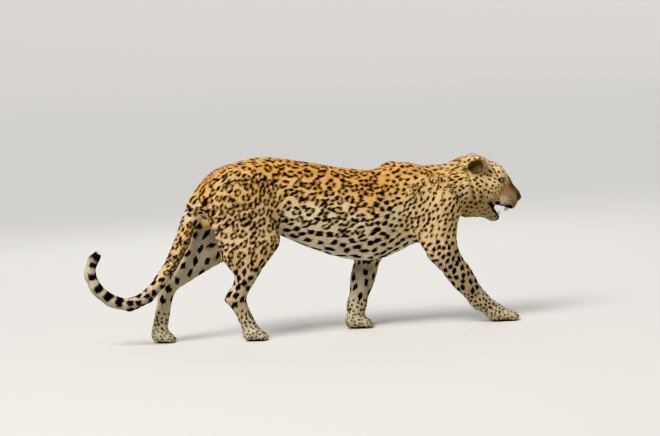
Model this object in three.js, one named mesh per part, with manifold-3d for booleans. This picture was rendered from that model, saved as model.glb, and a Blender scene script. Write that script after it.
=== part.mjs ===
// A male leopard, life size, walking with its head low. Millimetres: X forward, Y to the animal's left, Z up.
// The flesh is a field of masses that blend into one skin. Each part is wrapped on that skin from its own axis,
// and is parted from its neighbours by thin cuts.
import * as THREE from "three";
import { mergeVertices } from "three/addons/utils/BufferGeometryUtils.js";
import Module from "manifold-3d";

const wasm = await Module();
wasm.setup();

const GAP = 0.35; // clear space between touching parts
const RIGHT = -1;
const LEFT = 1;

// Driving sizes of the body
const NECK_PLANE_X = 452;
const MIDDLE_X = -90; // the middle of the outline, measured from the point under the last rib
const HEAD_PITCH = 30; // the nose points this many degrees below level
const HEAD_AT = [650, 0, 550];
const JAW_OPEN = 20; // degrees
const EYE_R = 14;
const TAIL_R = [26, 34, 30, 28, 27, 25, 20]; // from the root to the tip

// Colours of the coat and the bare parts
const COAT = { color: 0xd9a050, roughness: 0.85 };
const PALE_COAT = { color: 0xe9dcc0, roughness: 0.9 };
const DARK_SKIN = { color: 0x3a302c, roughness: 0.7 };
const NOSE_SKIN = { color: 0x6e4a42, roughness: 0.5 };
const EYE_GLAZE = { color: 0x9a8a3c, roughness: 0.08 };
const TONGUE_SKIN = { color: 0xb4686a, roughness: 0.55 };
const IVORY = { color: 0xe8dfc4, roughness: 0.35 };

// Vectors
const vec = (p) => new THREE.Vector3(...p);
const mix = (a, b, t) => a + (b - a) * t;
const radians = THREE.MathUtils.degToRad;

// A point part of the way from a to b, moved sideways in the XZ plane: ahead is positive when b lies below a.
function along(a, b, share, ahead = 0) {
  const run = vec(b).sub(vec(a));
  const normal = new THREE.Vector3(-run.z, 0, run.x).normalize();
  return vec(a).addScaledVector(run, share).addScaledVector(normal, ahead).toArray();
}

// A smooth curve of numbers through named stations
function spline(stations, key) {
  const at = stations.map((s) => s.x);
  const value = stations.map((s) => s[key]);
  const slope = value.map((v, i) => {
    const a = Math.max(i - 1, 0);
    const b = Math.min(i + 1, value.length - 1);
    return (value[b] - value[a]) / (at[b] - at[a]);
  });
  return (x) => {
    if (x <= at[0]) return value[0];
    if (x >= at.at(-1)) return value.at(-1);
    const i = at.findIndex((a) => a > x) - 1;
    const span = at[i + 1] - at[i];
    const t = (x - at[i]) / span;
    const t2 = t * t;
    const t3 = t2 * t;
    return (
      (2 * t3 - 3 * t2 + 1) * value[i] +
      (t3 - 2 * t2 + t) * span * slope[i] +
      (3 * t2 - 2 * t3) * value[i + 1] +
      (t3 - t2) * span * slope[i + 1]
    );
  };
}

// A tapered limb of flesh from a to b. flat above 1 makes it that much thinner across the body.
function taper(a, b, ra, rb, { flat = 1, blend = 30 } = {}) {
  const [ax, ay, az] = a;
  const [bx, by, bz] = [b[0] - ax, b[1] - ay, b[2] - az];
  const length2 = bx * bx + by * by + bz * bz;
  const distance = (x, y, z) => {
    const [px, py, pz] = [x - ax, y - ay, z - az];
    const t = Math.min(1, Math.max(0, (px * bx + py * by + pz * bz) / length2));
    const [dx, dy, dz] = [px - bx * t, (py - by * t) * flat, pz - bz * t];
    return Math.sqrt(dx * dx + dy * dy + dz * dz) - mix(ra, rb, t);
  };
  return { distance, blend };
}

// A bulge: an ellipsoid whose long axis may be tilted nose down in the XZ plane
function bulge(at, radii, { tilt = 0, blend = 30 } = {}) {
  const [cx, cy, cz] = at;
  const [rx, ry, rz] = radii;
  const [c, s] = [Math.cos(radians(tilt)), Math.sin(radians(tilt))];
  const least = Math.min(...radii);
  const distance = (x, y, z) => {
    const [px, py, pz] = [x - cx, y - cy, z - cz];
    const [u, w] = [px * c - pz * s, px * s + pz * c];
    return (Math.hypot(u / rx, py / ry, w / rz) - 1) * least;
  };
  return { distance, blend };
}

// All masses as one field: below zero is inside the skin
function blended(masses) {
  return (x, y, z) => {
    let d = Infinity;
    for (const m of masses) {
      const e = m.distance(x, y, z);
      const h = Math.max(m.blend - Math.abs(d - e), 0) / m.blend;
      d = Math.min(d, e) - (h * h * m.blend) / 4;
    }
    return d;
  };
}

// The trunk and neck: back line, belly line and half width at stations from the rump to the nape
const TRUNK = [
  { x: -552, top: 572, low: 536, half: 22 },
  { x: -535, top: 594, low: 526, half: 42 },
  { x: -500, top: 630, low: 512, half: 64 },
  { x: -440, top: 672, low: 462, half: 88 },
  { x: -380, top: 700, low: 434, half: 100 },
  { x: -276, top: 722, low: 424, half: 104 },
  { x: -194, top: 718, low: 402, half: 102 },
  { x: -93, top: 699, low: 352, half: 110 },
  { x: 29, top: 670, low: 302, half: 122 },
  { x: 120, top: 652, low: 280, half: 125 },
  { x: 190, top: 644, low: 276, half: 120 },
  { x: 263, top: 650, low: 292, half: 106 },
  { x: 347, top: 656, low: 328, half: 90 },
  { x: 430, top: 648, low: 378, half: 82 },
  { x: 500, top: 650, low: 424, half: 80 },
  { x: 560, top: 656, low: 440, half: 78 },
  { x: 640, top: 640, low: 458, half: 70 },
];
const trunkTop = spline(TRUNK, "top");
const trunkLow = spline(TRUNK, "low");
const trunkHalf = spline(TRUNK, "half");
const trunk = {
  blend: 30,
  distance: (x, y, z) => {
    const [top, low, half] = [trunkTop(x), trunkLow(x), trunkHalf(x)];
    const rise = (top - low) / 2;
    const outside = Math.max(TRUNK[0].x - x, x - TRUNK.at(-1).x, 0);
    const share = Math.hypot(y / half, (z - low - rise) / rise);
    return (share - 1) * Math.min(rise, half) + outside;
  },
};

const chest = [
  bulge([440, 0, 432], [92, 74, 92], { tilt: 20, blend: 50 }),
  taper([560, 0, 482], [668, 0, 442], 50, 28, { flat: 0.8, blend: 40 }), // throat
];

// The tail's middle line, from the rump down, back and up to the tip
const TAIL = [
  [-486, 0, 596],
  [-526, 0, 546],
  [-556, 0, 478],
  [-584, 0, 412],
  [-618, 0, 345],
  [-668, 0, 268],
  [-736, 0, 198],
  [-806, 0, 170],
  [-876, 0, 188],
  [-936, 0, 240],
  [-962, 0, 306],
  [-946, 0, 356],
  [-922, 0, 380],
];
const tailRadius = (share) => {
  const at = share * (TAIL_R.length - 1);
  const i = Math.min(Math.floor(at), TAIL_R.length - 2);
  return mix(TAIL_R[i], TAIL_R[i + 1], at - i);
};
const tailMasses = TAIL.slice(1).map((to, i) => {
  const radii = [i, i + 1].map((k) => tailRadius(k / (TAIL.length - 1)));
  return taper(TAIL[i], to, ...radii, { blend: 12 });
});

// Hind leg: hip, knee, hock and ball of the foot, with the muscles placed from them
function hindMasses(side, { hip, knee, hock, ball, ham }) {
  const seat = [-448, side * 58, 548];
  const up = vec(hock).sub(vec(ball)).normalize();
  const heel = vec(hock).addScaledVector(up, 10).add(new THREE.Vector3(-up.z, 0, up.x).multiplyScalar(26));
  return [
    bulge([-372, side * 60, 592], [118, 50, 90], { tilt: -10, blend: 40 }),
    taper(along(hip, knee, 0.1), along(hip, knee, 0.92), 98, 58, { flat: 1.75, blend: 45 }),
    taper(seat, ham, 54, 46, { flat: 1.35, blend: 40 }),
    taper(along(hip, knee, 0.55, -40), along(knee, hock, 0.3, -32), 66, 58, { flat: 1.6, blend: 40 }),
    taper(ham, along(knee, hock, 0.6, -26), 42, 34, { flat: 1.3, blend: 34 }),
    taper(knee, along(hip, knee, 0.6, 26), 40, 44, { flat: 1.25, blend: 30 }),
    taper(along(knee, hock, 0.05, -6), hock, 50, 34, { flat: 1.2, blend: 30 }),
    taper(heel.toArray(), hock, 24, 34, { flat: 1.1, blend: 18 }),
    taper(hock, ball, 31, 31, { flat: 1.05, blend: 20 }),
  ];
}

// Foreleg: top of the shoulder blade, point of the shoulder, elbow, wrist and the ball of the foot
function foreMasses(side, { blade, shoulder, elbow, wrist, ball }) {
  return [
    taper(blade, shoulder, 46, 58, { flat: 1.5, blend: 46 }),
    taper(along(blade, shoulder, 0.42, -46), along(shoulder, elbow, 0.92, -44), 62, 40, { flat: 1.45, blend: 42 }),
    taper(shoulder, elbow, 62, 48, { flat: 1.3, blend: 36 }),
    taper(along(shoulder, elbow, 0.98, -34), elbow, 28, 46, { flat: 1.2, blend: 20 }),
    taper(elbow, along(elbow, wrist, 0.55, -2), 56, 46, { flat: 1.2, blend: 26 }),
    taper(along(elbow, wrist, 0.4), wrist, 48, 38, { flat: 1.05, blend: 22 }),
    taper(wrist, ball, 36, 33, { blend: 20 }),
  ];
}

// Paw: a palm and four toes on a shallow arc, all on the floor
const TOE = { long: 30, r: 16.5, spread: 23.5, high: 14.5 };
const toePlaces = [-1.5, -0.5, 0.5, 1.5];

function pawMasses([x, y], fore, size) {
  const toes = toePlaces.map((place) => {
    const tip = x + fore * size - (Math.abs(place) > 1 ? 15 : 0);
    const line = y + place * TOE.spread * size;
    const knuckle = [tip - TOE.long * size, y + place * TOE.spread * 0.8 * size, 27 * size];
    return taper(knuckle, [tip, line, TOE.high * size], 17 * size, TOE.r * size, { blend: 9 });
  });
  return [bulge([x, y, 25 * size], [42 * size, 39 * size, 28 * size], { blend: 22 }), ...toes];
}

// Joints of each leg, the part each makes, and how it is cut. Stations are [x, y, z, lean] of its middle line.
const LEGS = {
  hind_right: {
    side: RIGHT,
    masses: hindMasses,
    pose: {
      hip: [-385, -72, 590],
      knee: [-258, -96, 394],
      hock: [-396, -80, 176],
      ball: [-340, -75, 40],
      ham: [-404, -88, 352],
    },
    paw: { at: [-334, -75], fore: 52, size: 0.94 },
    stations: [
      [-330, -90, 400, 0],
      [-346, -90, 305, 0],
      [-376, -84, 222, 0],
      [-396, -80, 172, 12],
      [-366, -78, 104, 20],
      [-342, -75, 48, 20],
    ],
    bowls: [
      { at: [-346, 122, 520], size: [176, 98, 176], lean: 8 },
      { at: [-372, 148, 420], size: [190, 112, 130], lean: 0 },
    ],
    open: { at: [-370, 211], size: [390, 422], lean: 0 },
    cuts: [
      { at: [-335, -90, 330], facing: [-0.3, 0, -0.95] },
      { at: [-364, -78, 100], facing: [0.38, 0, -0.92] },
    ],
    names: ["thigh", "shank", "foot"],
  },
  hind_left: {
    side: LEFT,
    masses: hindMasses,
    pose: {
      hip: [-385, 72, 590],
      knee: [-396, 98, 362],
      hock: [-640, 90, 226],
      ball: [-684, 84, 46],
      ham: [-496, 90, 388],
    },
    paw: { at: [-674, 84], fore: 44, size: 0.94 },
    stations: [
      [-432, 94, 404, -32],
      [-500, 95, 326, -52],
      [-566, 93, 272, -56],
      [-638, 90, 226, -34],
      [-664, 87, 140, -10],
      [-680, 84, 52, -8],
    ],
    bowls: [
      { at: [-378, 122, 520], size: [172, 96, 180], lean: 4 },
      { at: [-420, 148, 420], size: [190, 112, 130], lean: 0 },
    ],
    open: { at: [-500, 200], size: [560, 420], lean: 4 },
    cuts: [
      { at: [-462, 95, 344], facing: [-0.85, 0, -0.52] },
      { at: [-666, 87, 124], facing: [-0.2, 0, -0.98] },
    ],
    names: ["thigh", "shank", "foot"],
  },
  fore_right: {
    side: RIGHT,
    masses: foreMasses,
    pose: {
      blade: [318, -44, 618],
      shoulder: [470, -84, 488],
      elbow: [460, -92, 288],
      wrist: [598, -68, 92],
      ball: [668, -64, 40],
    },
    paw: { at: [680, -62], fore: 64, size: 1.04 },
    stations: [

      [462, -92, 312, 22],
      [514, -84, 218, 34],
      [566, -74, 138, 36],
      [614, -67, 78, 50],
    ],
    bowls: [
      { at: [412, 120, 488], size: [120, 94, 176], lean: 22 },
      { at: [462, 134, 318], size: [96, 92, 90], lean: 0 },
    ],
    open: { at: [560, 160], size: [420, 330], lean: 0 },
    cuts: [
      { at: [470, -90, 262], facing: [0.52, 0, -0.85] },
      { at: [594, -69, 98], facing: [0.72, 0, -0.69] },
    ],
    names: ["upper", "forearm", "paw"],
  },
  fore_left: {
    side: LEFT,
    masses: foreMasses,
    pose: {
      blade: [286, 44, 622],
      shoulder: [366, 86, 455],
      elbow: [190, 88, 300],
      wrist: [124, 70, 96],
      ball: [112, 66, 42],
    },
    paw: { at: [116, 66], fore: 54, size: 1.04 },
    stations: [

      [206, 88, 312, -26],
      [166, 80, 222, -18],
      [134, 72, 128, -12],
      [120, 67, 60, -6],
    ],
    bowls: [
      { at: [312, 120, 488], size: [122, 94, 180], lean: 10 },
      { at: [214, 136, 318], size: [110, 92, 96], lean: 0 },
    ],
    open: { at: [200, 130], size: [420, 290], lean: 0 },
    cuts: [
      { at: [182, 85, 258], facing: [-0.3, 0, -0.95] },
      { at: [134, 70, 104], facing: [-0.25, 0, -0.97] },
    ],
    names: ["upper", "forearm", "paw"],
  },
};
for (const leg of Object.values(LEGS)) leg.flesh = leg.masses(leg.side, leg.pose);

// The head has its own frame: out along the nose, across, and up from the palate
const headTurn = new THREE.Matrix4().makeRotationY(radians(HEAD_PITCH)).setPosition(vec(HEAD_AT));
const onHead = (out, across, up) => new THREE.Vector3(out, across, up).applyMatrix4(headTurn).toArray();
const headDirection = new THREE.Vector3(1, 0, 0).transformDirection(headTurn);

function headMasses() {
  const tilt = HEAD_PITCH;
  const masses = [
    bulge(onHead(-42, 0, 36), [92, 70, 70], { tilt, blend: 40 }),
    taper(onHead(24, 0, 70), onHead(76, 0, 54), 38, 28, { flat: 0.9, blend: 26 }),
    taper(onHead(66, 0, 50), onHead(146, 0, 28), 30, 21, { flat: 1.15, blend: 18 }),
    taper(onHead(48, 0, 2), onHead(130, 0, -2), 44, 33, { flat: 1.05, blend: 22 }),
  ];
  for (const side of [RIGHT, LEFT]) {
    masses.push(
      taper(onHead(-50, side * 44, -8), onHead(32, side * 46, 8), 44, 36, { flat: 1.2, blend: 34 }),
      taper(onHead(-46, side * 34, -62), onHead(34, side * 32, -46), 40, 32, { blend: 34 }),
      taper(onHead(32, side * 30, 82), onHead(62, side * 24, 68), 16, 13, { blend: 18 }),
      taper(onHead(52, side * 48, 26), onHead(22, side * 58, 14), 15, 20, { blend: 20 }),
      taper(onHead(96, side * 24, -17), onHead(139, side * 19, -7), 29, 26, { blend: 12 }),
    );
  }
  return masses;
}

// The jaw hangs open from its hinge below the ear
const jawTurn = new THREE.Matrix4()
  .makeTranslation(...onHead(-25, 0, -30))
  .multiply(new THREE.Matrix4().makeRotationY(radians(HEAD_PITCH + JAW_OPEN)));
const onJaw = (out, across, up) => new THREE.Vector3(out, across, up).applyMatrix4(jawTurn).toArray();

function jawMasses() {
  const masses = [
    taper(onJaw(66, 0, -20), onJaw(140, 0, -12), 24, 15, { blend: 18 }),
    taper(onJaw(136, 0, -10), onJaw(150, 0, -10), 20, 17, { blend: 12 }),
    taper(onJaw(118, 0, -22), onJaw(138, 0, -24), 17, 15, { blend: 14 }),
  ];
  for (const side of [RIGHT, LEFT]) {
    masses.push(taper(onJaw(34, side * 36, -14), onJaw(138, side * 13, -3), 27, 13, { blend: 16 }));
  }
  return masses;
}

const headFlesh = headMasses();
const jawFlesh = jawMasses();
const legFlesh = Object.values(LEGS).flatMap((leg) => leg.flesh);
const bodyField = blended([trunk, ...chest, ...legFlesh, ...tailMasses.slice(0, 5), ...headFlesh]);
const tailField = blended([trunk, ...tailMasses]);
const headField = blended([trunk, ...chest, ...headFlesh, ...jawFlesh]);

// The solid of a closed triangle list
function solidOf(geometry) {
  const bare = new THREE.BufferGeometry().setAttribute("position", geometry.getAttribute("position"));
  bare.setIndex(geometry.getIndex());
  const merged = mergeVertices(bare, 1e-3);
  const made = { numProp: 3, vertProperties: merged.attributes.position.array, triVerts: new Uint32Array(merged.index.array) };
  return new wasm.Manifold(new wasm.Mesh(made));
}

function geometryOf(solid) {
  const { vertProperties, triVerts, numProp, numVert } = solid.getMesh();
  const position = new Float32Array(numVert * 3);
  for (let i = 0; i < numVert; i++) position.set(vertProperties.subarray(i * numProp, i * numProp + 3), i * 3);
  const geometry = new THREE.BufferGeometry().setAttribute("position", new THREE.BufferAttribute(position, 3));
  return geometry.setIndex(new THREE.BufferAttribute(triVerts, 1));
}

const largest = (solid) => solid.decompose().sort((a, b) => b.volume() - a.volume())[0];
const joined = (solids) => solids.reduce((a, b) => a.add(b));

// How far a ray from a point inside the flesh goes before it leaves the skin
function reach(field, from, way, most) {
  const at = (r) => field(from.x + way.x * r, from.y + way.y * r, from.z + way.z * r);
  const step = 5;
  let near = 0;
  let far = step;
  while (far < most && at(far) < 0) {
    near = far;
    far += step;
  }
  if (far >= most) return most;
  for (let i = 0; i < 16; i++) {
    const middle = (near + far) / 2;
    if (at(middle) < 0) near = middle;
    else far = middle;
  }
  return Math.max(near, 0.8);
}

// Rings of points round a middle line, each point on the skin. A station is [x, y, z, lean]: the ring's plane
// faces down at lean 0 and forward at lean 90. Both ends are closed with a fan.
function wrap(field, stations, { rings, around, most = 400 }) {
  const centres = new THREE.CatmullRomCurve3(stations.map(([x, y, z]) => new THREE.Vector3(x, y, z)));
  const leans = new THREE.CatmullRomCurve3(stations.map(([, , , lean]) => new THREE.Vector3(lean, 0, 0)));
  const position = [];
  const index = [];
  const ends = [];
  const across = new THREE.Vector3(0, 1, 0);
  for (let i = 0; i <= rings; i++) {
    const centre = centres.getPoint(i / rings);
    const lean = radians(leans.getPoint(i / rings).x);
    const facing = new THREE.Vector3(Math.sin(lean), 0, -Math.cos(lean));
    const upward = new THREE.Vector3().crossVectors(facing, across);
    for (let j = 0; j < around; j++) {
      const turn = (j / around) * Math.PI * 2;
      const way = across.clone().multiplyScalar(Math.cos(turn)).addScaledVector(upward, Math.sin(turn));
      const r = reach(field, centre, way, most);
      position.push(...centre.clone().addScaledVector(way, r).toArray());
    }
    if (i === 0 || i === rings) ends.push(centre);
  }
  for (let i = 0; i < rings; i++) {
    for (let j = 0; j < around; j++) {
      const a = i * around + j;
      const b = i * around + ((j + 1) % around);
      index.push(a, b, a + around, b, b + around, a + around);
    }
  }
  const [first, last] = [position.length / 3, position.length / 3 + 1];
  position.push(...ends[0].toArray(), ...ends[1].toArray());
  for (let j = 0; j < around; j++) {
    const next = (j + 1) % around;
    index.push(first, next, j, last, rings * around + j, rings * around + next);
  }
  const geometry = new THREE.BufferGeometry().setAttribute("position", new THREE.Float32BufferAttribute(position, 3));
  return solidOf(geometry.setIndex(index));
}

// A net of square cells drawn onto the skin of a field, closed where it meets the sides of a box
function netted(field, low, high, cell) {
  const count = low.map((v, k) => Math.ceil((high[k] - v) / cell) + 3);
  const start = low.map((v) => v - cell * 1.37);
  const boxed = (x, y, z) => {
    return Math.max(field(x, y, z), low[0] - x, x - high[0], low[1] - y, y - high[1], low[2] - z, z - high[2]);
  };
  const at = (i, j, k) => (k * count[1] + j) * count[0] + i;
  const value = new Float32Array(count[0] * count[1] * count[2]);
  for (let k = 0; k < count[2]; k++) {
    for (let j = 0; j < count[1]; j++) {
      for (let i = 0; i < count[0]; i++) {
        value[at(i, j, k)] = boxed(start[0] + i * cell, start[1] + j * cell, start[2] + k * cell);
      }
    }
  }
  const steps = [at(1, 0, 0), at(0, 1, 0), at(0, 0, 1)];
  unpinch(value, steps);
  const position = [];
  const vertex = new Int32Array(value.length).fill(-1);
  const corners = [0, 1, 2, 3, 4, 5, 6, 7].map((n) => [n & 1, (n >> 1) & 1, (n >> 2) & 1]);
  const edges = corners.flatMap((a, n) => [0, 1, 2].filter((k) => !a[k]).map((k) => [n, n | (1 << k)]));
  for (let k = 0; k < count[2] - 1; k++) {
    for (let j = 0; j < count[1] - 1; j++) {
      for (let i = 0; i < count[0] - 1; i++) {
        const f = corners.map(([a, b, c]) => value[at(i + a, j + b, k + c)]);
        const sum = [0, 0, 0];
        let crossings = 0;
        for (const [a, b] of edges) {
          if (f[a] < 0 === f[b] < 0) continue;
          const t = f[a] / (f[a] - f[b]);
          for (let n = 0; n < 3; n++) sum[n] += mix(corners[a][n], corners[b][n], t);
          crossings++;
        }
        if (!crossings) continue;
        vertex[at(i, j, k)] = position.length / 3;
        position.push(...[i, j, k].map((v, n) => start[n] + (v + sum[n] / crossings) * cell));
      }
    }
  }
  for (let n = 0; n < position.length; n += 3) settle(boxed, position, n, cell / 2);
  const index = [];
  for (let c = 0; c < value.length; c++) {
    for (let n = 0; n < 3; n++) {
      const [along1, along2] = [steps[(n + 1) % 3], steps[(n + 2) % 3]];
      const other = c + steps[n];
      if (other >= value.length || value[c] < 0 === value[other] < 0) continue;
      const quad = [c - along1 - along2, c - along2, c, c - along1].map((v) => vertex[v]);
      if (value[c] >= 0) quad.reverse();
      index.push(quad[0], quad[1], quad[2], quad[0], quad[2], quad[3]);
    }
  }
  const geometry = new THREE.BufferGeometry().setAttribute("position", new THREE.Float32BufferAttribute(position, 3));
  return solidOf(geometry.setIndex(index));
}

// Where only two opposite corners of a square lie inside, the net would touch itself: the weaker one goes out
function unpinch(value, steps) {
  for (let pass = 0; pass < 6; pass++) {
    for (const [n, u] of steps.entries()) {
      const v = steps[(n + 1) % 3];
      for (let c = 0; c + u + v < value.length; c++) {
        const inside = [c, c + u, c + u + v, c + v].map((corner) => value[corner] < 0);
        if (inside[0] !== inside[2] || inside[1] !== inside[3] || inside[0] === inside[1]) continue;
        const pair = inside[0] ? [c, c + u + v] : [c + u, c + v];
        value[value[pair[0]] > value[pair[1]] ? pair[0] : pair[1]] = 0.01;
      }
    }
  }
}

// Moves one point of a list down the slope of a field until it lies on the skin
function settle(field, position, n, most) {
  const h = 0.5;
  for (let turn = 0; turn < 3; turn++) {
    const [x, y, z] = position.slice(n, n + 3);
    const f = field(x, y, z);
    const slope = new THREE.Vector3(
      field(x + h, y, z) - field(x - h, y, z),
      field(x, y + h, z) - field(x, y - h, z),
      field(x, y, z + h) - field(x, y, z - h),
    ).divideScalar(2 * h);
    const move = slope.multiplyScalar(-f / Math.max(slope.lengthSq(), 0.05)).clampLength(0, most);
    position[n] += move.x;
    position[n + 1] += move.y;
    position[n + 2] += move.z;
  }
}

// A block with its centre, size and lean in the XZ plane, used to cut
function block(at, size, lean = 0) {
  const geometry = new THREE.BoxGeometry(...size).rotateY(radians(lean)).translate(...at);
  return solidOf(geometry);
}

// An ellipsoid of flat faces
function egg(at, radii, { tilt = 0, turn = 0, around = 16, rows = 10 } = {}) {
  const geometry = new THREE.SphereGeometry(1, around, rows).rotateX(Math.PI / 2).scale(...radii);
  return solidOf(geometry.rotateY(radians(tilt)).rotateZ(radians(turn)).translate(...at));
}

const WORLD = 3000;

// The two sides of a plane through a point that faces along a direction, with a thin gap between them
function parted(solid, at, facing) {
  const turn = new THREE.Quaternion().setFromUnitVectors(new THREE.Vector3(0, 0, 1), vec(facing).normalize());
  const half = (side) => {
    const geometry = new THREE.BoxGeometry(WORLD, WORLD, WORLD).translate(0, 0, side * (WORLD / 2 + GAP / 2));
    return solidOf(geometry.applyQuaternion(turn).translate(...at));
  };
  return [solid.intersect(half(-1)), solid.intersect(half(1))];
}

const leopard = new THREE.Group();
leopard.position.x = -MIDDLE_X;
const part = new THREE.Group();
part.add(leopard);

// Closes up the slivers that cuts leave: corners nearer than SEAM become one, and empty triangles go
const SEAM = 0.05;

function tidied(solid) {
  const merged = mergeVertices(geometryOf(solid), SEAM);
  const old = merged.getIndex().array;
  const index = [];
  for (let i = 0; i < old.length; i += 3) {
    const [a, b, c] = old.slice(i, i + 3);
    if (a !== b && b !== c && c !== a) index.push(a, b, c);
  }
  merged.setIndex(index);
  return largest(solidOf(merged));
}

function addNode(name, solid, look) {
  const kept = tidied(largest(solid));
  const mesh = new THREE.Mesh(geometryOf(kept), new THREE.MeshStandardMaterial({ metalness: 0, ...look }));
  mesh.name = name;
  leopard.add(mesh);
  return kept;
}

// Scrotum, hung under the tail root
const SCROTUM = { at: [-482, 482], r: [27, 23, 31], apart: 15 };
const scrotum = (grow) => {
  return joined(
    [RIGHT, LEFT].map((side) => {
      const radii = SCROTUM.r.map((r) => r + grow);
      return egg([SCROTUM.at[0], side * SCROTUM.apart, SCROTUM.at[1]], radii, { tilt: 14, around: 10, rows: 7 });
    }),
  );
};
const scrotumRoom = scrotum(GAP);

// What each leg takes out of the trunk: bowls at the haunch or shoulder, and all that lies below the belly
function legCutter({ side, bowls, open }, grow) {
  const cups = bowls.map(({ at: [x, y, z], size, lean }) => {
    return egg([x, side * y, z], size.map((r) => r + grow), { tilt: lean, around: 20, rows: 12 });
  });
  const wide = 240;
  const size = [open.size[0] + 2 * grow, wide + 2 * grow, open.size[1] + 2 * grow];
  return joined([...cups, block([open.at[0], side * (6 + wide / 2), open.at[1]], size, open.lean)]);
}

const FLOOR = block([0, 0, -WORLD / 2], [WORLD, WORLD, WORLD]);
const PAW_CELL = 16.5;


// The trunk with the neck, haunches, shoulders and tail root in one, before it is parted
const whole = netted(bodyField, [-640, -170, 200], [660, 170, 760], 33);
let torso = whole;
for (const [name, leg] of Object.entries(LEGS)) {
  torso = torso.subtract(legCutter(leg, GAP));
  const cutter = legCutter(leg, 0);
  const [top] = parted(whole.intersect(cutter), leg.cuts[0].at, leg.cuts[0].facing);
  const shin = wrap(blended(leg.flesh), leg.stations, { rings: 15, around: 13 });
  const [, below] = parted(shin.intersect(cutter), leg.cuts[0].at, leg.cuts[0].facing);
  const [middle] = parted(below, leg.cuts[1].at, leg.cuts[1].facing);
  addNode(`${name}_${leg.names[0]}`, top.subtract(scrotumRoom), COAT);
  addNode(`${name}_${leg.names[1]}`, middle, COAT);
  const { at, fore, size } = leg.paw;
  const pawField = blended([...leg.flesh.slice(-2), ...pawMasses(at, fore, size)]);
  const foot = netted(pawField, [at[0] - 110, at[1] - 70, -20], [at[0] + 110, at[1] + 70, 150], PAW_CELL);
  const [, foot2] = parted(foot, leg.cuts[1].at, leg.cuts[1].facing);
  addNode(`${name}_${leg.names[2]}`, foot2.subtract(FLOOR), PALE_COAT);
}

// Tail, in lengths, parted from the trunk by a plane across its root
const TAIL_ROOT = { at: [-553, 0, 486], facing: [-0.39, 0, -0.92] };
const tailBlock = (shift) => {
  const [x, , z] = TAIL_ROOT.at.map((v, k) => v + TAIL_ROOT.facing[k] * (150 + shift));
  return block([x, 0, z], [110, 150, 300], 23);
};
const tailStations = TAIL.map(([x, y, z], i) => {
  const [a, b] = [TAIL[Math.max(i - 1, 0)], TAIL[Math.min(i + 1, TAIL.length - 1)]];
  const lean = THREE.MathUtils.radToDeg(Math.atan2(b[0] - a[0], a[2] - b[2]));
  return [x, y, z, lean > 20 ? lean - 360 : lean];
});
let tailRest = wrap(tailField, tailStations, { rings: 34, around: 10, most: 120 });
[, tailRest] = parted(tailRest, TAIL_ROOT.at, TAIL_ROOT.facing);
const TAIL_CUTS = [4, 6, 8, 10];
TAIL_CUTS.forEach((station, i) => {
  const [x, y, z, lean] = tailStations[station];
  const [taken, rest] = parted(tailRest, [x, y, z], [Math.sin(radians(lean)), 0, -Math.cos(radians(lean))]);
  addNode(`tail_${i + 1}`, taken, COAT);
  tailRest = rest;
});
addNode(`tail_${TAIL_CUTS.length + 1}`, tailRest, COAT);

const HEAD_PLANE = { at: [568, 0, 560], facing: [0.985, 0, -0.17] };
torso = torso.subtract(tailBlock(-GAP / 2)).subtract(scrotumRoom);
const [trunkPart, neckOn] = parted(torso, [NECK_PLANE_X, 0, 540], [1, 0, -0.12]);
let [neckPart] = parted(neckOn, HEAD_PLANE.at, HEAD_PLANE.facing);
addNode("torso", trunkPart, COAT);
addNode("scrotum", scrotum(0), COAT);

// Head
const HEAD_STATIONS = [-118, -60, 0, 50, 95, 130, 150, 160].map((out, i) => {
  const up = [8, 14, 20, 18, 12, 10, 12, 14][i];
  return [...onHead(out, 0, up), 90 - HEAD_PITCH];
});
const headWhole = wrap(blended([trunk, ...chest, ...headFlesh]), HEAD_STATIONS, { rings: 28, around: 24, most: 170 });
let [, headPart] = parted(headWhole, HEAD_PLANE.at, HEAD_PLANE.facing);

// Mouth: the jaw's own block, and the hollow of the mouth between the lips
const jawBlock = (grow) => {
  const size = [200 + 2 * grow, 200, 110 + 2 * grow];
  return block(onJaw(50 + 100, 0, 4 - 55), size, HEAD_PITCH + JAW_OPEN);
};
const mouth = egg(onHead(92, 0, -44), [66, 23, 22], { tilt: HEAD_PITCH + 6, around: 12, rows: 8 });
headPart = headPart.subtract(jawBlock(GAP)).subtract(mouth);
const jawNet = netted(headField, [...onJaw(150, 0, -50)].map((v, k) => v - [160, 80, 120][k]), [...onJaw(150, 0, -50)].map((v, k) => v + [90, 80, 160][k]), 16);
const jawHollow = egg(onJaw(100, 0, 8), [52, 15, 15], { tilt: HEAD_PITCH + JAW_OPEN });
const jawPart = jawNet.intersect(jawBlock(0)).subtract(jawHollow).subtract(mouth);
const jawKept = addNode("jaw", jawPart, PALE_COAT);

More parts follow.
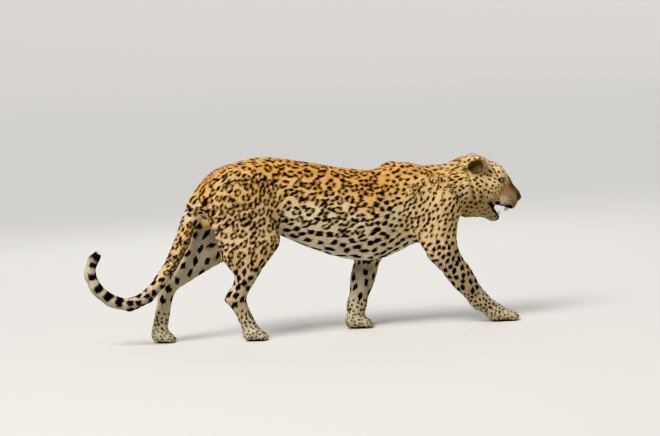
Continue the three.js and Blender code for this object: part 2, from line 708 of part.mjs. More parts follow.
// Eyes, each deep between its lids. The eye's own frame looks out along X.
const EYE = { at: [46, 38, 50], yaw: 38, rise: -8, slant: 14 };
for (const [name, side] of [["right", RIGHT], ["left", LEFT]]) {
  const [out, across, up] = EYE.at;
  const turn = new THREE.Matrix4()
    .multiply(headTurn)
    .multiply(new THREE.Matrix4().makeTranslation(out, side * across, up))
    .multiply(new THREE.Matrix4().makeRotationZ(radians(side * EYE.yaw)))
    .multiply(new THREE.Matrix4().makeRotationY(radians(EYE.rise)))
    .multiply(new THREE.Matrix4().makeRotationX(radians(-side * EYE.slant)));
  const ball = (r, offset = [0, 0, 0], around = 10, rows = 7) => {
    const geometry = new THREE.SphereGeometry(1, around, rows).rotateZ(Math.PI / 2).scale(...r);
    return solidOf(geometry.translate(...offset).applyMatrix4(turn));
  };
  const lids = ball([EYE_R + 4, EYE_R + 4, EYE_R + 4]);
  const slit = ball([15, 13.5, 7.8], [12, 0, 0]);
  headPart = headPart.add(lids).subtract(slit).subtract(ball([EYE_R + GAP, EYE_R + GAP, EYE_R + GAP], [0, 0, 0], 14, 10));
  addNode(`eye_${name}`, ball([EYE_R, EYE_R, EYE_R], [0, 0, 0], 14, 10), EYE_GLAZE);

  // Ear, laid back with its cup turned out to the side
  const earFrame = new THREE.Matrix4()
    .makeTranslation(616, side * 70, 628)
    .multiply(new THREE.Matrix4().makeRotationZ(radians(side * 12)))
    .multiply(new THREE.Matrix4().makeRotationY(radians(-16)))
    .multiply(new THREE.Matrix4().makeRotationX(radians(side * 24)));
  const shell = (r, offset) => {
    const geometry = new THREE.SphereGeometry(1, 14, 7).scale(...r).translate(...offset);
    return solidOf(geometry.applyMatrix4(earFrame));
  };
  const ear = shell([46, 24, 33], [0, 0, 0]).subtract(shell([39, 26, 26], [2, side * 12, 1]));
  addNode(`ear_${name}`, ear.subtract(headPart), COAT);
  const earRoom = shell([46 + GAP, 24 + GAP, 33 + GAP], [0, 0, 0]);
  headPart = headPart.subtract(earRoom);
  neckPart = neckPart.subtract(earRoom);
}
addNode("neck", neckPart, COAT);

// Nose: a bare pad with two nostrils, set in the end of the muzzle
const NOSE = { at: [154, 0, 24], r: [17, 23, 17] };
const nosePad = (grow) => egg(onHead(...NOSE.at), NOSE.r.map((r) => r + grow), { tilt: HEAD_PITCH - 14, around: 12, rows: 8 });
const nostrils = joined(
  [RIGHT, LEFT].map((side) => {
    return egg(onHead(169, side * 11, 20), [10, 5.2, 4.4], { tilt: HEAD_PITCH, turn: side * 34, around: 7, rows: 5 });
  }),
);
headPart = headPart.subtract(nosePad(GAP)).subtract(nostrils);
addNode("nose", nosePad(0).subtract(nostrils), NOSE_SKIN);
addNode("head", headPart, COAT);

// Tongue, in the hollow of the jaw
const tongue = egg(onJaw(98, 0, 4), [48, 14 - GAP, 9], { tilt: HEAD_PITCH + JAW_OPEN + 2, around: 10, rows: 6 });
addNode("tongue", tongue.subtract(jawKept).subtract(headPart), TONGUE_SKIN);

export default part;
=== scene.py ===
import math

import bmesh
import bpy
import numpy as np
from mathutils import Matrix, Vector
from mathutils.bvhtree import BVHTree
from mathutils.kdtree import KDTree


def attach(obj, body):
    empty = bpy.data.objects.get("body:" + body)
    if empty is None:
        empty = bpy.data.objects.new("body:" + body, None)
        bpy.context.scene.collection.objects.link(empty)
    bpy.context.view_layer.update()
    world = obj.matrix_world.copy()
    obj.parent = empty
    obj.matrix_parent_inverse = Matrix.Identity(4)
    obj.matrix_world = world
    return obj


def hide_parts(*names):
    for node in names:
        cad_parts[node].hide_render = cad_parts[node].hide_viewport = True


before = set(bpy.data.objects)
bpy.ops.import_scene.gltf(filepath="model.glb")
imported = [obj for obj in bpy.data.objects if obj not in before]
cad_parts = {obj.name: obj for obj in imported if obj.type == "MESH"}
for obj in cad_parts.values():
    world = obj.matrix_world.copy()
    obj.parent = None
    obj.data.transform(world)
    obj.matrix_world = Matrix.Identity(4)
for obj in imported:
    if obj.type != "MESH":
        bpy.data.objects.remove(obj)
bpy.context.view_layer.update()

# The skin: one hide over trunk, neck, head, jaw, ears, tail and legs, drawn tight over the muscles.
# It is cast from the solids of flesh, fused so that no seam is left, evened out, and drawn in by
# the depth of the coat that grows on it, which is deepest on the trunk and least on face and feet.
COAT_DEPTH = {
    "torso": 0.0060, "neck": 0.0060, "head": 0.0026, "jaw": 0.0028, "ear_right": 0.0008, "ear_left": 0.0008,
    "scrotum": 0.0030,
    "tail_1": 0.0055, "tail_2": 0.0055, "tail_3": 0.0055, "tail_4": 0.0055, "tail_5": 0.0055,
    "hind_right_thigh": 0.0055, "hind_right_shank": 0.0040, "hind_right_foot": 0.0022,
    "hind_left_thigh": 0.0055, "hind_left_shank": 0.0040, "hind_left_foot": 0.0022,
    "fore_right_upper": 0.0055, "fore_right_forearm": 0.0042, "fore_right_paw": 0.0020,
    "fore_left_upper": 0.0055, "fore_left_forearm": 0.0042, "fore_left_paw": 0.0020,
}
FLESH = list(COAT_DEPTH)
HIDE_GRID = 0.0061
FACE_GRID = 0.0020
BROAD_GRID = 0.0075
FACE_FROM, FACE_ABOVE = 0.690, 0.38
TOES_BELOW = 0.050
CAST_SWELL = 0.0006
SHARE_LEVELS = 20


def let_go():
    if bpy.context.mode != "OBJECT":
        bpy.ops.object.mode_set(mode="OBJECT")
    bpy.ops.object.select_all(action="DESELECT")
    bpy.context.view_layer.objects.active = None


def take(piece):
    let_go()
    piece.select_set(True)
    bpy.context.view_layer.objects.active = piece
    return piece


def settle_modifiers(piece):
    take(piece)
    for modifier in list(piece.modifiers):
        bpy.ops.object.modifier_apply(modifier=modifier.name)


def joined(pieces, name):
    """The pieces as one."""
    let_go()
    for piece in pieces:
        piece.select_set(True)
    bpy.context.view_layer.objects.active = pieces[0]
    bpy.ops.object.join()
    pieces[0].name = pieces[0].data.name = name
    return pieces[0]


def all_in_edit(piece):
    take(piece)
    bpy.ops.object.mode_set(mode="EDIT")
    bpy.ops.mesh.select_all(action="SELECT")


def face_outward(piece):
    all_in_edit(piece)
    bpy.ops.mesh.normals_make_consistent(inside=False)
    bpy.ops.object.mode_set(mode="OBJECT")


def points_of(piece):
    flat = np.empty(len(piece.data.vertices) * 3)
    piece.data.vertices.foreach_get("co", flat)
    return flat.reshape(-1, 3)


def put_points(piece, points):
    piece.data.vertices.foreach_set("co", np.asarray(points, float).ravel())
    piece.data.update()


def edges_of(piece):
    flat = np.empty(len(piece.data.edges) * 2, int)
    piece.data.edges.foreach_get("vertices", flat)
    return flat.reshape(-1, 2)


def normals_of(piece):
    flat = np.empty(len(piece.data.vertices) * 3)
    piece.data.vertices.foreach_get("normal", flat)
    return flat.reshape(-1, 3)


def corners_of(piece):
    """Each triangle's three corners."""
    piece.data.calc_loop_triangles()
    flat = np.empty(len(piece.data.loop_triangles) * 3, int)
    piece.data.loop_triangles.foreach_get("vertices", flat)
    return flat.reshape(-1, 3)


def neighbour_mean(values, edges, count):
    total = np.empty_like(values)
    a, b = edges[:, 0], edges[:, 1]
    for i in range(values.shape[1]):
        column = np.ascontiguousarray(values[:, i])
        total[:, i] = np.bincount(a, column[b], len(values)) + np.bincount(b, column[a], len(values))
    return total / count[:, None]


def eased(values, edges, rounds, steps=(0.5,), share=None):
    """Values evened out over the surface; steps of 0.5 and -0.53 keep a shape's girth."""
    count = np.maximum(np.bincount(edges.ravel(), minlength=len(values)), 1).astype(float)
    share = np.ones(len(values)) if share is None else share
    for _ in range(rounds):
        for step in steps:
            values = values + (share * step)[:, None] * (neighbour_mean(values, edges, count) - values)
    return values


def stepped(low, high, value):
    t = np.clip((value - low) / (high - low), 0.0, 1.0)
    return t * t * (3.0 - 2.0 * t)


def cast_of(nodes, grow, grid, name):
    """One closed form over several solids, in a grid of quads."""
    casts = []
    for node in nodes:
        cast = bpy.data.objects.new(node + "_cast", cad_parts[node].data.copy())
        bpy.context.collection.objects.link(cast)
        cast.data.materials.clear()
        all_in_edit(cast)
        bpy.ops.mesh.remove_doubles(threshold=2e-6)
        bpy.ops.object.mode_set(mode="OBJECT")
        swell = cast.modifiers.new("swell", "DISPLACE")
        swell.strength = grow
        swell.mid_level = 0.0
        settle_modifiers(cast)
        casts.append(cast)
    fused = joined(casts, name)
    fuse = fused.modifiers.new("fuse", "REMESH")
    fuse.mode = "VOXEL"
    fuse.voxel_size = grid
    settle_modifiers(fused)
    all_in_edit(fused)
    bpy.ops.mesh.separate(type="LOOSE")
    bpy.ops.object.mode_set(mode="OBJECT")
    parts = sorted(bpy.context.selected_objects, key=lambda o: len(o.data.vertices))
    keep = parts.pop()
    for scrap in parts:
        bpy.data.objects.remove(scrap)
    keep.name = keep.data.name = name
    return keep


broad = cast_of(FLESH, CAST_SWELL, BROAD_GRID, "broad_form")
put_points(broad, eased(points_of(broad), edges_of(broad), 45, (0.5, -0.525)))
fullness = broad.modifiers.new("fullness", "SUBSURF")
fullness.levels = fullness.render_levels = 1
settle_modifiers(broad)

face_form = cast_of(["head", "jaw", "ear_right", "ear_left", "neck"], CAST_SWELL, FACE_GRID, "face_form")

skin = cast_of(FLESH, CAST_SWELL, HIDE_GRID, "skin")
take(skin)
bpy.ops.object.mode_set(mode="EDIT")
bpy.ops.mesh.select_mode(type="FACE")
bpy.ops.mesh.select_all(action="DESELECT")
shape = bmesh.from_edit_mesh(skin.data)
for face in shape.faces:
    middle = face.calc_center_median()
    face.select_set((middle.x > FACE_FROM and middle.z > FACE_ABOVE) or middle.z < TOES_BELOW)
bmesh.update_edit_mesh(skin.data)
bpy.ops.mesh.subdivide(number_cuts=1)
bpy.ops.object.mode_set(mode="OBJECT")

flesh_points, flesh_faces, flesh_owner = [], [], []
for owner, node in enumerate(FLESH):
    start = len(flesh_points)
    flesh_points += [tuple(v) for v in points_of(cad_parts[node])]
    faces = corners_of(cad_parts[node]) + start
    flesh_faces += faces.tolist()
    flesh_owner += [owner] * len(faces)
flesh_tree = BVHTree.FromPolygons(flesh_points, flesh_faces)
flesh_owner = np.array(flesh_owner)


def owners_of(points):
    """For each point, the number in FLESH of the part of the body that it lies on."""
    return flesh_owner[[flesh_tree.find_nearest(p)[2] for p in points.tolist()]]


def is_part(owner, *starts):
    """Whether each point's part of the body has a name that starts so."""
    return np.array([name.startswith(starts) for name in FLESH])[owner]


# trunk and legs are drawn over the broad form, the face over the fine one
points = points_of(skin)
owner = owners_of(points)
skin_edges = edges_of(skin)
feet = np.array([name.endswith(("paw", "foot")) for name in FLESH])
close_fitted = is_part(owner, "ear", "head", "jaw", "scrotum") | feet[owner]
hold = eased(1.0 - close_fitted[:, None], skin_edges, 16)[:, 0]
hold = stepped(0.45, 0.95, hold)
face_share = stepped(FACE_FROM - 0.004, FACE_FROM + 0.020, points[:, 0]) * (1 - hold)
face_share *= points[:, 2] > FACE_ABOVE
for form, region, share in ((broad, "broad", hold), (face_form, "face", face_share)):
    group = skin.vertex_groups.new(name=region)
    for level in range(1, SHARE_LEVELS + 1):
        chosen = np.nonzero(np.round(share * SHARE_LEVELS).astype(int) == level)[0]
        group.add(chosen.tolist(), level / SHARE_LEVELS, "REPLACE")
    drape = skin.modifiers.new("drape", "SHRINKWRAP")
    drape.target = form
    drape.wrap_method = "NEAREST_SURFACEPOINT"
    drape.vertex_group = region
settle_modifiers(skin)
bpy.data.objects.remove(broad)
bpy.data.objects.remove(face_form)
skin.vertex_groups.clear()

points = points_of(skin)
points = eased(points, skin_edges, 6, (0.5, -0.52), np.clip(0.45 + hold, 0, 1))
put_points(skin, points)
depth = eased(np.array(list(COAT_DEPTH.values()))[owner][:, None], skin_edges, 12)
put_points(skin, points - normals_of(skin) * depth)

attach(skin, "root")
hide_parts(*FLESH)

# The face: the same hide, drawn over brow, cheek bones and whisker pads. Soft presses of the hide
# give it the folds that the solids are too coarse for, alike on both sides, in the head's own frame.
HEAD_AT = np.array([0.740, 0.0, 0.550])
HEAD_PITCH, JAW_OPEN = math.radians(30), math.radians(20)
JAW_HINGE = np.array([-0.025, 0.0, -0.030])
EYE_AT = np.array([0.046, 0.038, 0.050])
EYE_YAW, EYE_RISE, EYE_SLANT = math.radians(38), math.radians(-8), math.radians(14)
LID_SWING, LID_LIFT, LID_REACH = 1.06, 0.50, 1.6
EAR_AT = np.array([0.706, 0.070, 0.628])
EAR_YAW, EAR_BACK, EAR_LEAN = math.radians(12), math.radians(-16), math.radians(24)
EAR_HALF = (0.046, 0.024, 0.033)
RUFF_SWELL, RUFF_FOLD = 0.0042, 0.0034


def turned(axis, angle):
    c, s = math.cos(angle), math.sin(angle)
    if axis == "X":
        return np.array([[1, 0, 0], [0, c, -s], [0, s, c]])
    if axis == "Y":
        return np.array([[c, 0, s], [0, 1, 0], [-s, 0, c]])
    return np.array([[c, -s, 0], [s, c, 0], [0, 0, 1]])


HEAD_TURN = turned("Y", HEAD_PITCH)
JAW_TURN = turned("Y", JAW_OPEN)


def in_head(at):
    """Place in the head: out along the muzzle, across, and up, in metres."""
    return (at - HEAD_AT) @ HEAD_TURN


def from_head(at):
    return np.asarray(at) @ HEAD_TURN.T + HEAD_AT


def in_jaw(at):
    """The same in the dropped jaw, from its hinge."""
    return (in_head(at) - JAW_HINGE) @ JAW_TURN


def from_jaw(at):
    return from_head(np.asarray(at) @ JAW_TURN.T + JAW_HINGE)


EYES = {}
for eye_name, hand in (("eye_right", -1.0), ("eye_left", 1.0)):
    gaze_turn = HEAD_TURN @ turned("Z", hand * EYE_YAW) @ turned("Y", EYE_RISE)
    gaze_turn = gaze_turn @ turned("X", -hand * EYE_SLANT)
    EYES[eye_name] = (from_head(EYE_AT * (1, hand, 1)), gaze_turn)


def in_eye(at, eye_name):
    """Place in an eye: out along the gaze, across and up."""
    centre, gaze_turn = EYES[eye_name]
    return (at - centre) @ gaze_turn


def lid_share(at, eye_name):
    """How far each point lies from the gaze, 1 at the edges of the lids, and from the eye's middle."""
    q = in_eye(at, eye_name)
    far = np.linalg.norm(q, axis=1)
    swing = np.arctan2(q[:, 1], q[:, 0])
    lift = np.arcsin(np.clip(q[:, 2] / np.maximum(far, 1e-6), -1, 1))
    return np.hypot(swing / LID_SWING, lift / LID_LIFT), far


def in_eye_slit(at, eye_name, grow):
    share, far = lid_share(at, eye_name)
    return (share < grow) & (far < 0.032)


EARS = {}
for ear_name, hand in (("ear_right", -1.0), ("ear_left", 1.0)):
    ear_turn = turned("Z", hand * EAR_YAW) @ turned("Y", EAR_BACK)
    EARS[ear_name] = (EAR_AT * (1, hand, 1), ear_turn @ turned("X", hand * EAR_LEAN))


def ear_places(at, facing):
    """Whether each point lies in the nearer ear's cup, and how near it is to that ear's edge."""
    shares = []
    for centre, ear_turn in EARS.values():
        q = (at - centre) @ ear_turn / EAR_HALF
        far = np.linalg.norm(q, axis=1)
        looks_in = (q * (facing @ ear_turn)).sum(1) < 0
        shares.append((far, ((far < 1.16) & looks_in) | (far < 0.90), np.hypot(q[:, 0], q[:, 2])))
    nearer = shares[0][0] < shares[1][0]
    return [np.where(nearer, a, b) for a, b in zip(*shares)][1:]


# each press: its middle, its reach and how far it moves the hide, in the head's frame
PRESSES = [
    ((0.058, 0.030, 0.074), (0.026, 0.020, 0.014), (0.0030, 0.0, 0.0022)),
    ((0.066, 0.024, 0.046), (0.016, 0.010, 0.014), (-0.0016, -0.0026, -0.0008)),
    ((0.074, 0.044, 0.012), (0.024, 0.016, 0.020), (0.0, -0.0050, 0.0)),
    ((0.058, 0.046, 0.033), (0.018, 0.014, 0.009), (0.0012, 0.0018, 0.0008)),
    ((0.116, 0.038, -0.010), (0.038, 0.026, 0.026), (0.0006, 0.0085, -0.0010)),
    ((0.138, 0.024, -0.006), (0.022, 0.020, 0.022), (0.0036, 0.0040, 0.0)),
    ((0.120, 0.022, 0.034), (0.040, 0.014, 0.016), (0.0, 0.0026, 0.0010)),
    ((0.142, 0.019, -0.024), (0.024, 0.017, 0.016), (0.0022, 0.0022, -0.0042)),
    ((0.166, 0.000, -0.010), (0.018, 0.006, 0.028), (-0.0055, 0.0, 0.0)),
    ((0.104, 0.000, 0.046), (0.040, 0.010, 0.014), (0.0, 0.0, 0.0016)),
    ((0.020, 0.000, 0.100), (0.050, 0.007, 0.020), (0.0, 0.0, -0.0022)),
]
points = points_of(skin)
place = in_head(points)
face_here = (points[:, 0] > FACE_FROM) & (points[:, 2] > FACE_ABOVE)
move = np.zeros_like(points)
for centre, radii, push in PRESSES:
    for hand in ((1.0,) if centre[1] == 0 else (1.0, -1.0)):
        offset = (place - np.array(centre) * (1, hand, 1)) / np.array(radii)
        fade = np.clip(1 - (offset ** 2).sum(1), 0, 1) ** 2
        move += fade[:, None] * (np.array(push) * (1, hand, 1))
points[face_here] += (move @ HEAD_TURN.T)[face_here]


def past_ruff(at):
    """How far each point lies before the fold that ends the cheek's ruff, and its share in that fold."""
    out, across, rise = in_head(at).T
    stretch = stepped(-0.085, -0.060, rise) * stepped(0.052, 0.034, rise)
    stretch *= stepped(0.040, 0.055, np.abs(across))
    stretch *= (np.abs(at[:, 0] - 0.68) < 0.09) * (at[:, 2] > 0.4)
    return (out + rise + 0.073) / math.sqrt(2), stretch


before, stretch = past_ruff(points)
swell_out = RUFF_SWELL * np.exp(-((before - 0.007) / 0.011) ** 2)
swell_out -= RUFF_FOLD * np.exp(-((before + 0.012) / 0.009) ** 2)
points[:, 1] += np.sign(points[:, 1]) * swell_out * stretch

# the lids close round each eye, and the hide behind them is drawn in close to the ball
for eye_name, (eye_centre, eye_turn) in EYES.items():
    share, far = lid_share(points, eye_name)
    opened = 0.0124 + 0.0036 * stepped(1.14, 1.42, share)
    settled = opened + (np.maximum(far, 0.0160) - opened) * stepped(1.26, LID_REACH, share)
    settled = far + (settled - far) * stepped(-0.002, 0.004, in_eye(points, eye_name)[:, 0])
    near_eye = (share < LID_REACH) & (far < 0.034)
    points[near_eye] = eye_centre + (points - eye_centre)[near_eye] * (settled / far)[near_eye, None]
put_points(skin, points)

# The paws: four toes on a shallow arc, parted by grooves in the hide, with bare dark pads underneath.
# Each paw is given by place, half length and size, those of the solid that it is drawn over.
PAWS = {
    "hind_right_foot": (-0.244, -0.075, 0.052, 0.94), "hind_left_foot": (-0.584, 0.084, 0.044, 0.94),
    "fore_right_paw": (0.770, -0.062, 0.064, 1.04), "fore_left_paw": (0.206, 0.066, 0.054, 1.04),
}
GROOVES, TOES = (-1.0, 0.0, 1.0), (-1.5, -0.5, 0.5, 1.5)
TOE_SPREAD, TOE_LONG = 0.0235, 0.046
GROOVE_DEEP, TOE_SWELL = 0.0062, 0.0016


def toe_tip(paw, place):
    """Where a toe ends: places run from -1.5 to 1.5 across the paw, and grooves lie at -1, 0 and 1."""
    x, y, fore, size = paw
    return x + fore * size - 0.015 * stepped(0.5, 1.5, abs(place)), y + place * TOE_SPREAD * size


def toe_grooves(at):
    """How deep each point lies in the grooves between toes, and how full it lies on the back of a toe."""
    groove, back = np.zeros(len(at)), np.zeros(len(at))
    for paw in PAWS.values():
        x, y, fore, size = paw
        near = (np.abs(at[:, 0] - x) < 0.12) & (np.abs(at[:, 1] - y) < 0.08) & (at[:, 2] < 0.062)
        for place in GROOVES + TOES:
            end_x, end_y = toe_tip(paw, place)
            run = (at[:, 0] - (end_x - TOE_LONG * size)) / (TOE_LONG * size)
            line_y = y + (end_y - y) * (0.78 + 0.22 * np.clip(run, 0, 1))
            if place in GROOVES:
                value = stepped(-0.25, 0.55, run) * np.exp(-((at[:, 1] - line_y) / 0.0036) ** 2)
                groove = np.maximum(groove, value * near)
            else:
                value = np.exp(-((run - 0.72) / 0.55) ** 2) * np.exp(-((at[:, 1] - line_y) / 0.0075) ** 2)
                back = np.maximum(back, value * near)
    low = stepped(0.060, 0.046, at[:, 2])
    return groove * low, back * low


points = points_of(skin)
groove, back = toe_grooves(points)
normals = normals_of(skin)
move = (TOE_SWELL * back - GROOVE_DEEP * groove) * stepped(-0.75, -0.2, normals[:, 2])
put_points(skin, points + normals * move[:, None])

# Markings of the hide: tawny back, golden flank, white belly and inner legs, with broken rosettes,
# solid spots and bars set where the animal grows them. The same markings colour skin and coat.
points = points_of(skin)
normals = normals_of(skin)
skin_faces = corners_of(skin)
owner = owners_of(points)
chance = np.random.default_rng(41)

TAIL_LINE = np.array([
    (-0.396, 0.596), (-0.436, 0.546), (-0.466, 0.478), (-0.494, 0.412), (-0.528, 0.345), (-0.578, 0.268),
    (-0.646, 0.198), (-0.716, 0.170), (-0.786, 0.188), (-0.846, 0.240), (-0.872, 0.306), (-0.856, 0.356),
    (-0.832, 0.380),
])
MUZZLE_TIP = np.array([0.900, 0.0, 0.486])


def along_tail(at):
    """Share of the tail's length at each point, and its direction there."""
    a, b = TAIL_LINE[:-1], TAIL_LINE[1:]
    run = np.linalg.norm(b - a, axis=1)
    start = np.concatenate([[0], np.cumsum(run)[:-1]])
    flat = at[:, [0, 2]]
    way = np.clip(((flat[:, None] - a) * (b - a)).sum(2) / run ** 2, 0, 1)
    gap = np.linalg.norm(a + way[..., None] * (b - a) - flat[:, None], axis=2)
    best = gap.argmin(1)
    rows = np.arange(len(at))
    share = (start[best] + way[rows, best] * run[best]) / run.sum()
    course = (b - a)[best] / run[best][:, None]
    return share, np.stack([course[:, 0], np.zeros(len(at)), course[:, 1]], 1)


def unit(vectors):
    return vectors / np.maximum(np.linalg.norm(vectors, axis=-1, keepdims=True), 1e-9)


def dorsal_of(facing, course):
    """How much each point of the tail faces its upper side."""
    return (facing * np.stack([course[:, 2], np.zeros(len(facing)), -course[:, 0]], 1)).sum(1)


# the lines of belly and spine, evened out over five stations
spine_x = np.linspace(-0.47, 0.66, 26)
trunk_here = is_part(owner, "torso", "neck") & (np.abs(points[:, 1]) < 0.06)
stations = [points[trunk_here & (np.abs(points[:, 0] - x) < 0.03), 2] for x in spine_x]
spine_low, spine_high = (
    np.convolve(np.pad(line, 2, mode="edge"), np.ones(5) / 5, "valid")
    for line in ([z.min() for z in stations], [z.max() for z in stations]))


def height_share(at):
    """0 at the belly line, 1 along the spine."""
    low = np.interp(at[:, 0], spine_x, spine_low)
    high = np.interp(at[:, 0], spine_x, spine_high)
    return (at[:, 2] - low) / (high - low)


def wander(at, wave, seed):
    """A soft irregular value from about -1 to 1, different every wave metres."""
    rng = np.random.default_rng(seed)
    total = np.zeros(len(at))
    for _ in range(6):
        course = unit(rng.normal(size=(1, 3)))[0] * rng.uniform(0.7, 1.5) * 2 * math.pi / wave
        total += np.sin(at @ course + rng.uniform(0, 6.28))
    return total / 2.6


def linear(red, green, blue):
    srgb = np.array([red, green, blue]) / 255.0
    return np.where(srgb <= 0.04045, srgb / 12.92, ((srgb + 0.055) / 1.055) ** 2.4)


# the way the coat lies: from the nose back over the head, along the trunk, down the legs and the tail
lay = np.zeros_like(points)
lay[:] = (-1.0, 0.0, -0.22)
lay[is_part(owner, "neck")] = (-1.0, 0.0, -0.30)
lay[is_part(owner, "hind")] = (-0.35, 0.0, -1.0)
lay[is_part(owner, "fore")] = (-0.12, 0.0, -1.0)
lay[is_part(owner, "fore_right_upper", "fore_left_upper")] = (-0.75, 0.0, -0.9)
lay[is_part(owner, "hind_right_thigh", "hind_left_thigh")] = (-0.75, 0.0, -0.8)
lay[is_part(owner, "scrotum")] = (0.0, 0.0, -1.0)
for foot in [name for name in FLESH if name.endswith(("paw", "foot"))]:
    lay[owner == FLESH.index(foot)] = (0.8, 0.0, -0.7)
face_here = is_part(owner, "head", "jaw")
lay[face_here] = unit(points[face_here] - MUZZLE_TIP) + np.array([0, 0, 0.1])
lay[is_part(owner, "ear_right")] = (-0.75, -0.5, 0.35)
lay[is_part(owner, "ear_left")] = (-0.75, 0.5, 0.35)
tail_here = is_part(owner, "tail")
tail_share, tail_course = along_tail(points)
lay[tail_here] = tail_course[tail_here]
lay = eased(unit(lay), skin_edges, 30)
lay = unit(lay - normals * (lay * normals).sum(1, keepdims=True))

# ground colours
height = height_share(points)
outward = normals[:, 1] * np.where(points[:, 1] < 0, -1.0, 1.0)
BACK, GOLD, FLANK = linear(224, 172, 102), linear(234, 194, 130), linear(244, 222, 182)
BELLY, LEG, LEG_LOW_SHADED = linear(224, 212, 186), linear(232, 200, 154), linear(206, 186, 150)
CROWN, CHEEK, SNOUT_TONE_AND_SHADE = linear(232, 202, 158), linear(238, 206, 154), linear(92, 74, 54)
WHITE, THROAT, SHADED_MUZZLE = linear(200, 188, 160), linear(198, 170, 124), linear(152, 132, 102)


def stops(share, *pairs):
    """Shades that run into each other from mark to mark."""
    marks, shades = zip(*pairs)
    return np.stack([np.interp(share, marks, np.array(shades)[:, i]) for i in range(3)], 1)


def tinted(under, shade, share):
    """Colours taken a share of the way to a shade."""
    return under + (shade - under) * share[:, None]


soft_height = height + 0.05 * wander(points, 0.16, 5)
ground = stops(soft_height, (0.04, BELLY), (0.2, FLANK), (0.46, FLANK), (0.66, GOLD), (0.86, BACK))
neck_here = is_part(owner, "neck")
ground[neck_here] = stops(soft_height[neck_here], (0.05, THROAT), (0.25, CHEEK), (0.5, FLANK), (0.8, GOLD))
leg_here = is_part(owner, "hind", "fore")
leg_height = points[:, 2] + 0.02 * wander(points, 0.1, 6)
# the lower legs take a darker ground, painted shade
leg_shade = stops(leg_height, (0.05, LEG_LOW_SHADED), (0.22, LEG_LOW_SHADED), (0.36, LEG), (0.5, LEG), (0.62, GOLD))
ground[leg_here] = leg_shade[leg_here]
ground = tinted(ground, WHITE, stepped(0.15, -0.45, outward) * leg_here * stepped(0.56, 0.44, points[:, 2]))
foot_here = leg_here & (points[:, 2] < 0.12)
ground = tinted(ground, WHITE, 0.75 * foot_here * stepped(0.13, 0.05, points[:, 2]))
# the middle of the tail takes the same painted shade as the lower legs
tail_shade = stops(tail_share, (0.1, GOLD), (0.4, LEG), (0.62, LEG_LOW_SHADED), (0.75, WHITE))
tail_under = stepped(0.35, -0.35, dorsal_of(normals, tail_course)) * stepped(0.12, 0.5, tail_share)
ground[tail_here] = tinted(tail_shade, WHITE, tail_under)[tail_here]
ground[is_part(owner, "scrotum")] = linear(196, 150, 92)

head_at = in_head(points)
out, across, rise = head_at.T
head_here = is_part(owner, "head")
face = stops(rise, (-0.05, THROAT), (-0.01, CHEEK), (0.04, CHEEK), (0.085, CROWN))
# the bridge of the nose: a darker tawny of its own, deepened further as painted shade on the front of the
# face
bridge = stepped(0.050, 0.112, out) * stepped(0.040, 0.020, np.abs(across)) * stepped(0.010, 0.036, rise)
face = tinted(face, SNOUT_TONE_AND_SHADE, 0.95 * bridge)
# the sides of the muzzle: white fur greyed to a brown-grey as painted shade
face = tinted(face, SHADED_MUZZLE, 0.85 * stepped(0.075, 0.115, out) * stepped(0.055, 0.010, rise))
ground[head_here] = face[head_here]
jaw_here = is_part(owner, "jaw")
# the front of the lower jaw: white fur darkened to a grey cream as painted shade
ground[jaw_here] = stops(in_jaw(points)[jaw_here, 0], (0.06, THROAT), (0.13, linear(184, 170, 140)))
ground = eased(ground, skin_edges, 9)
in_cup, ear_ring = ear_places(points, normals)
ear_back = is_part(owner, "ear") & ~in_cup
# inside each ear's cup: painted shadow, darkest at the middle and lighter towards the rim
painted_cup_shadow = stops(
    ear_ring, (0.0, linear(70, 58, 40)), (0.6, linear(104, 86, 58)), (0.95, linear(186, 160, 116)))
back_shade = stops(
    ear_ring, (0.30, linear(196, 178, 142)), (0.52, linear(40, 32, 26)), (0.85, linear(56, 44, 34)),
    (1.0, CHEEK))
ground[in_cup] = painted_cup_shadow[in_cup]
ground[ear_back] = back_shade[ear_back]
ground = eased(ground, skin_edges, 2)

# where markings sit: thrown at random over the hide, none closer to the next than its kind allows.
# each kind is given half its length, half its width and its room, and a later line overrules one above
corner = points[skin_faces]
area = np.linalg.norm(np.cross(corner[:, 1] - corner[:, 0], corner[:, 2] - corner[:, 0]), axis=1) / 2
ROSETTE, SPOT, BAR, OPEN = 0, 1, 2, 3
SEEDS = 54000
LOOSE = 0.79  # the least gap between places thrown at random, as a share of the room they end up with


def scattered(count, weight, rng):
    """Places strewn over the hide: face, corner shares, point."""
    share = np.cumsum(weight)
    face = np.minimum(np.searchsorted(share, rng.uniform(0, share[-1], count)), len(share) - 1)
    u, v = np.sqrt(rng.uniform(size=count)), rng.uniform(size=count)
    shares = np.stack([1 - u, u * (1 - v), u * v], 1)
    return face, shares, (points[skin_faces[face]] * shares[..., None]).sum(1)


def mixed(values, face, shares):
    return (values[skin_faces[face]] * shares[..., None]).sum(1)


seed_face, seed_share, seed_at = scattered(SEEDS, area, chance)
seed_normal = unit(mixed(normals, seed_face, seed_share))
seed_lay = unit(mixed(lay, seed_face, seed_share))
seed_owner = owner[skin_faces[seed_face, 0]]
seed_high = height_share(seed_at)
seed_out = seed_normal[:, 1] * np.where(seed_at[:, 1] < 0, -1.0, 1.0)
seed_tail = along_tail(seed_at)[0]
seed_head = in_head(seed_at)
kind = np.full(len(seed_at), SPOT)
size = np.tile([0.009, 0.007, 0.022], (len(seed_at), 1))


def give(where, sort, along, across, room):
    kind[where] = sort
    size[where] = (along, across, room * LOOSE)


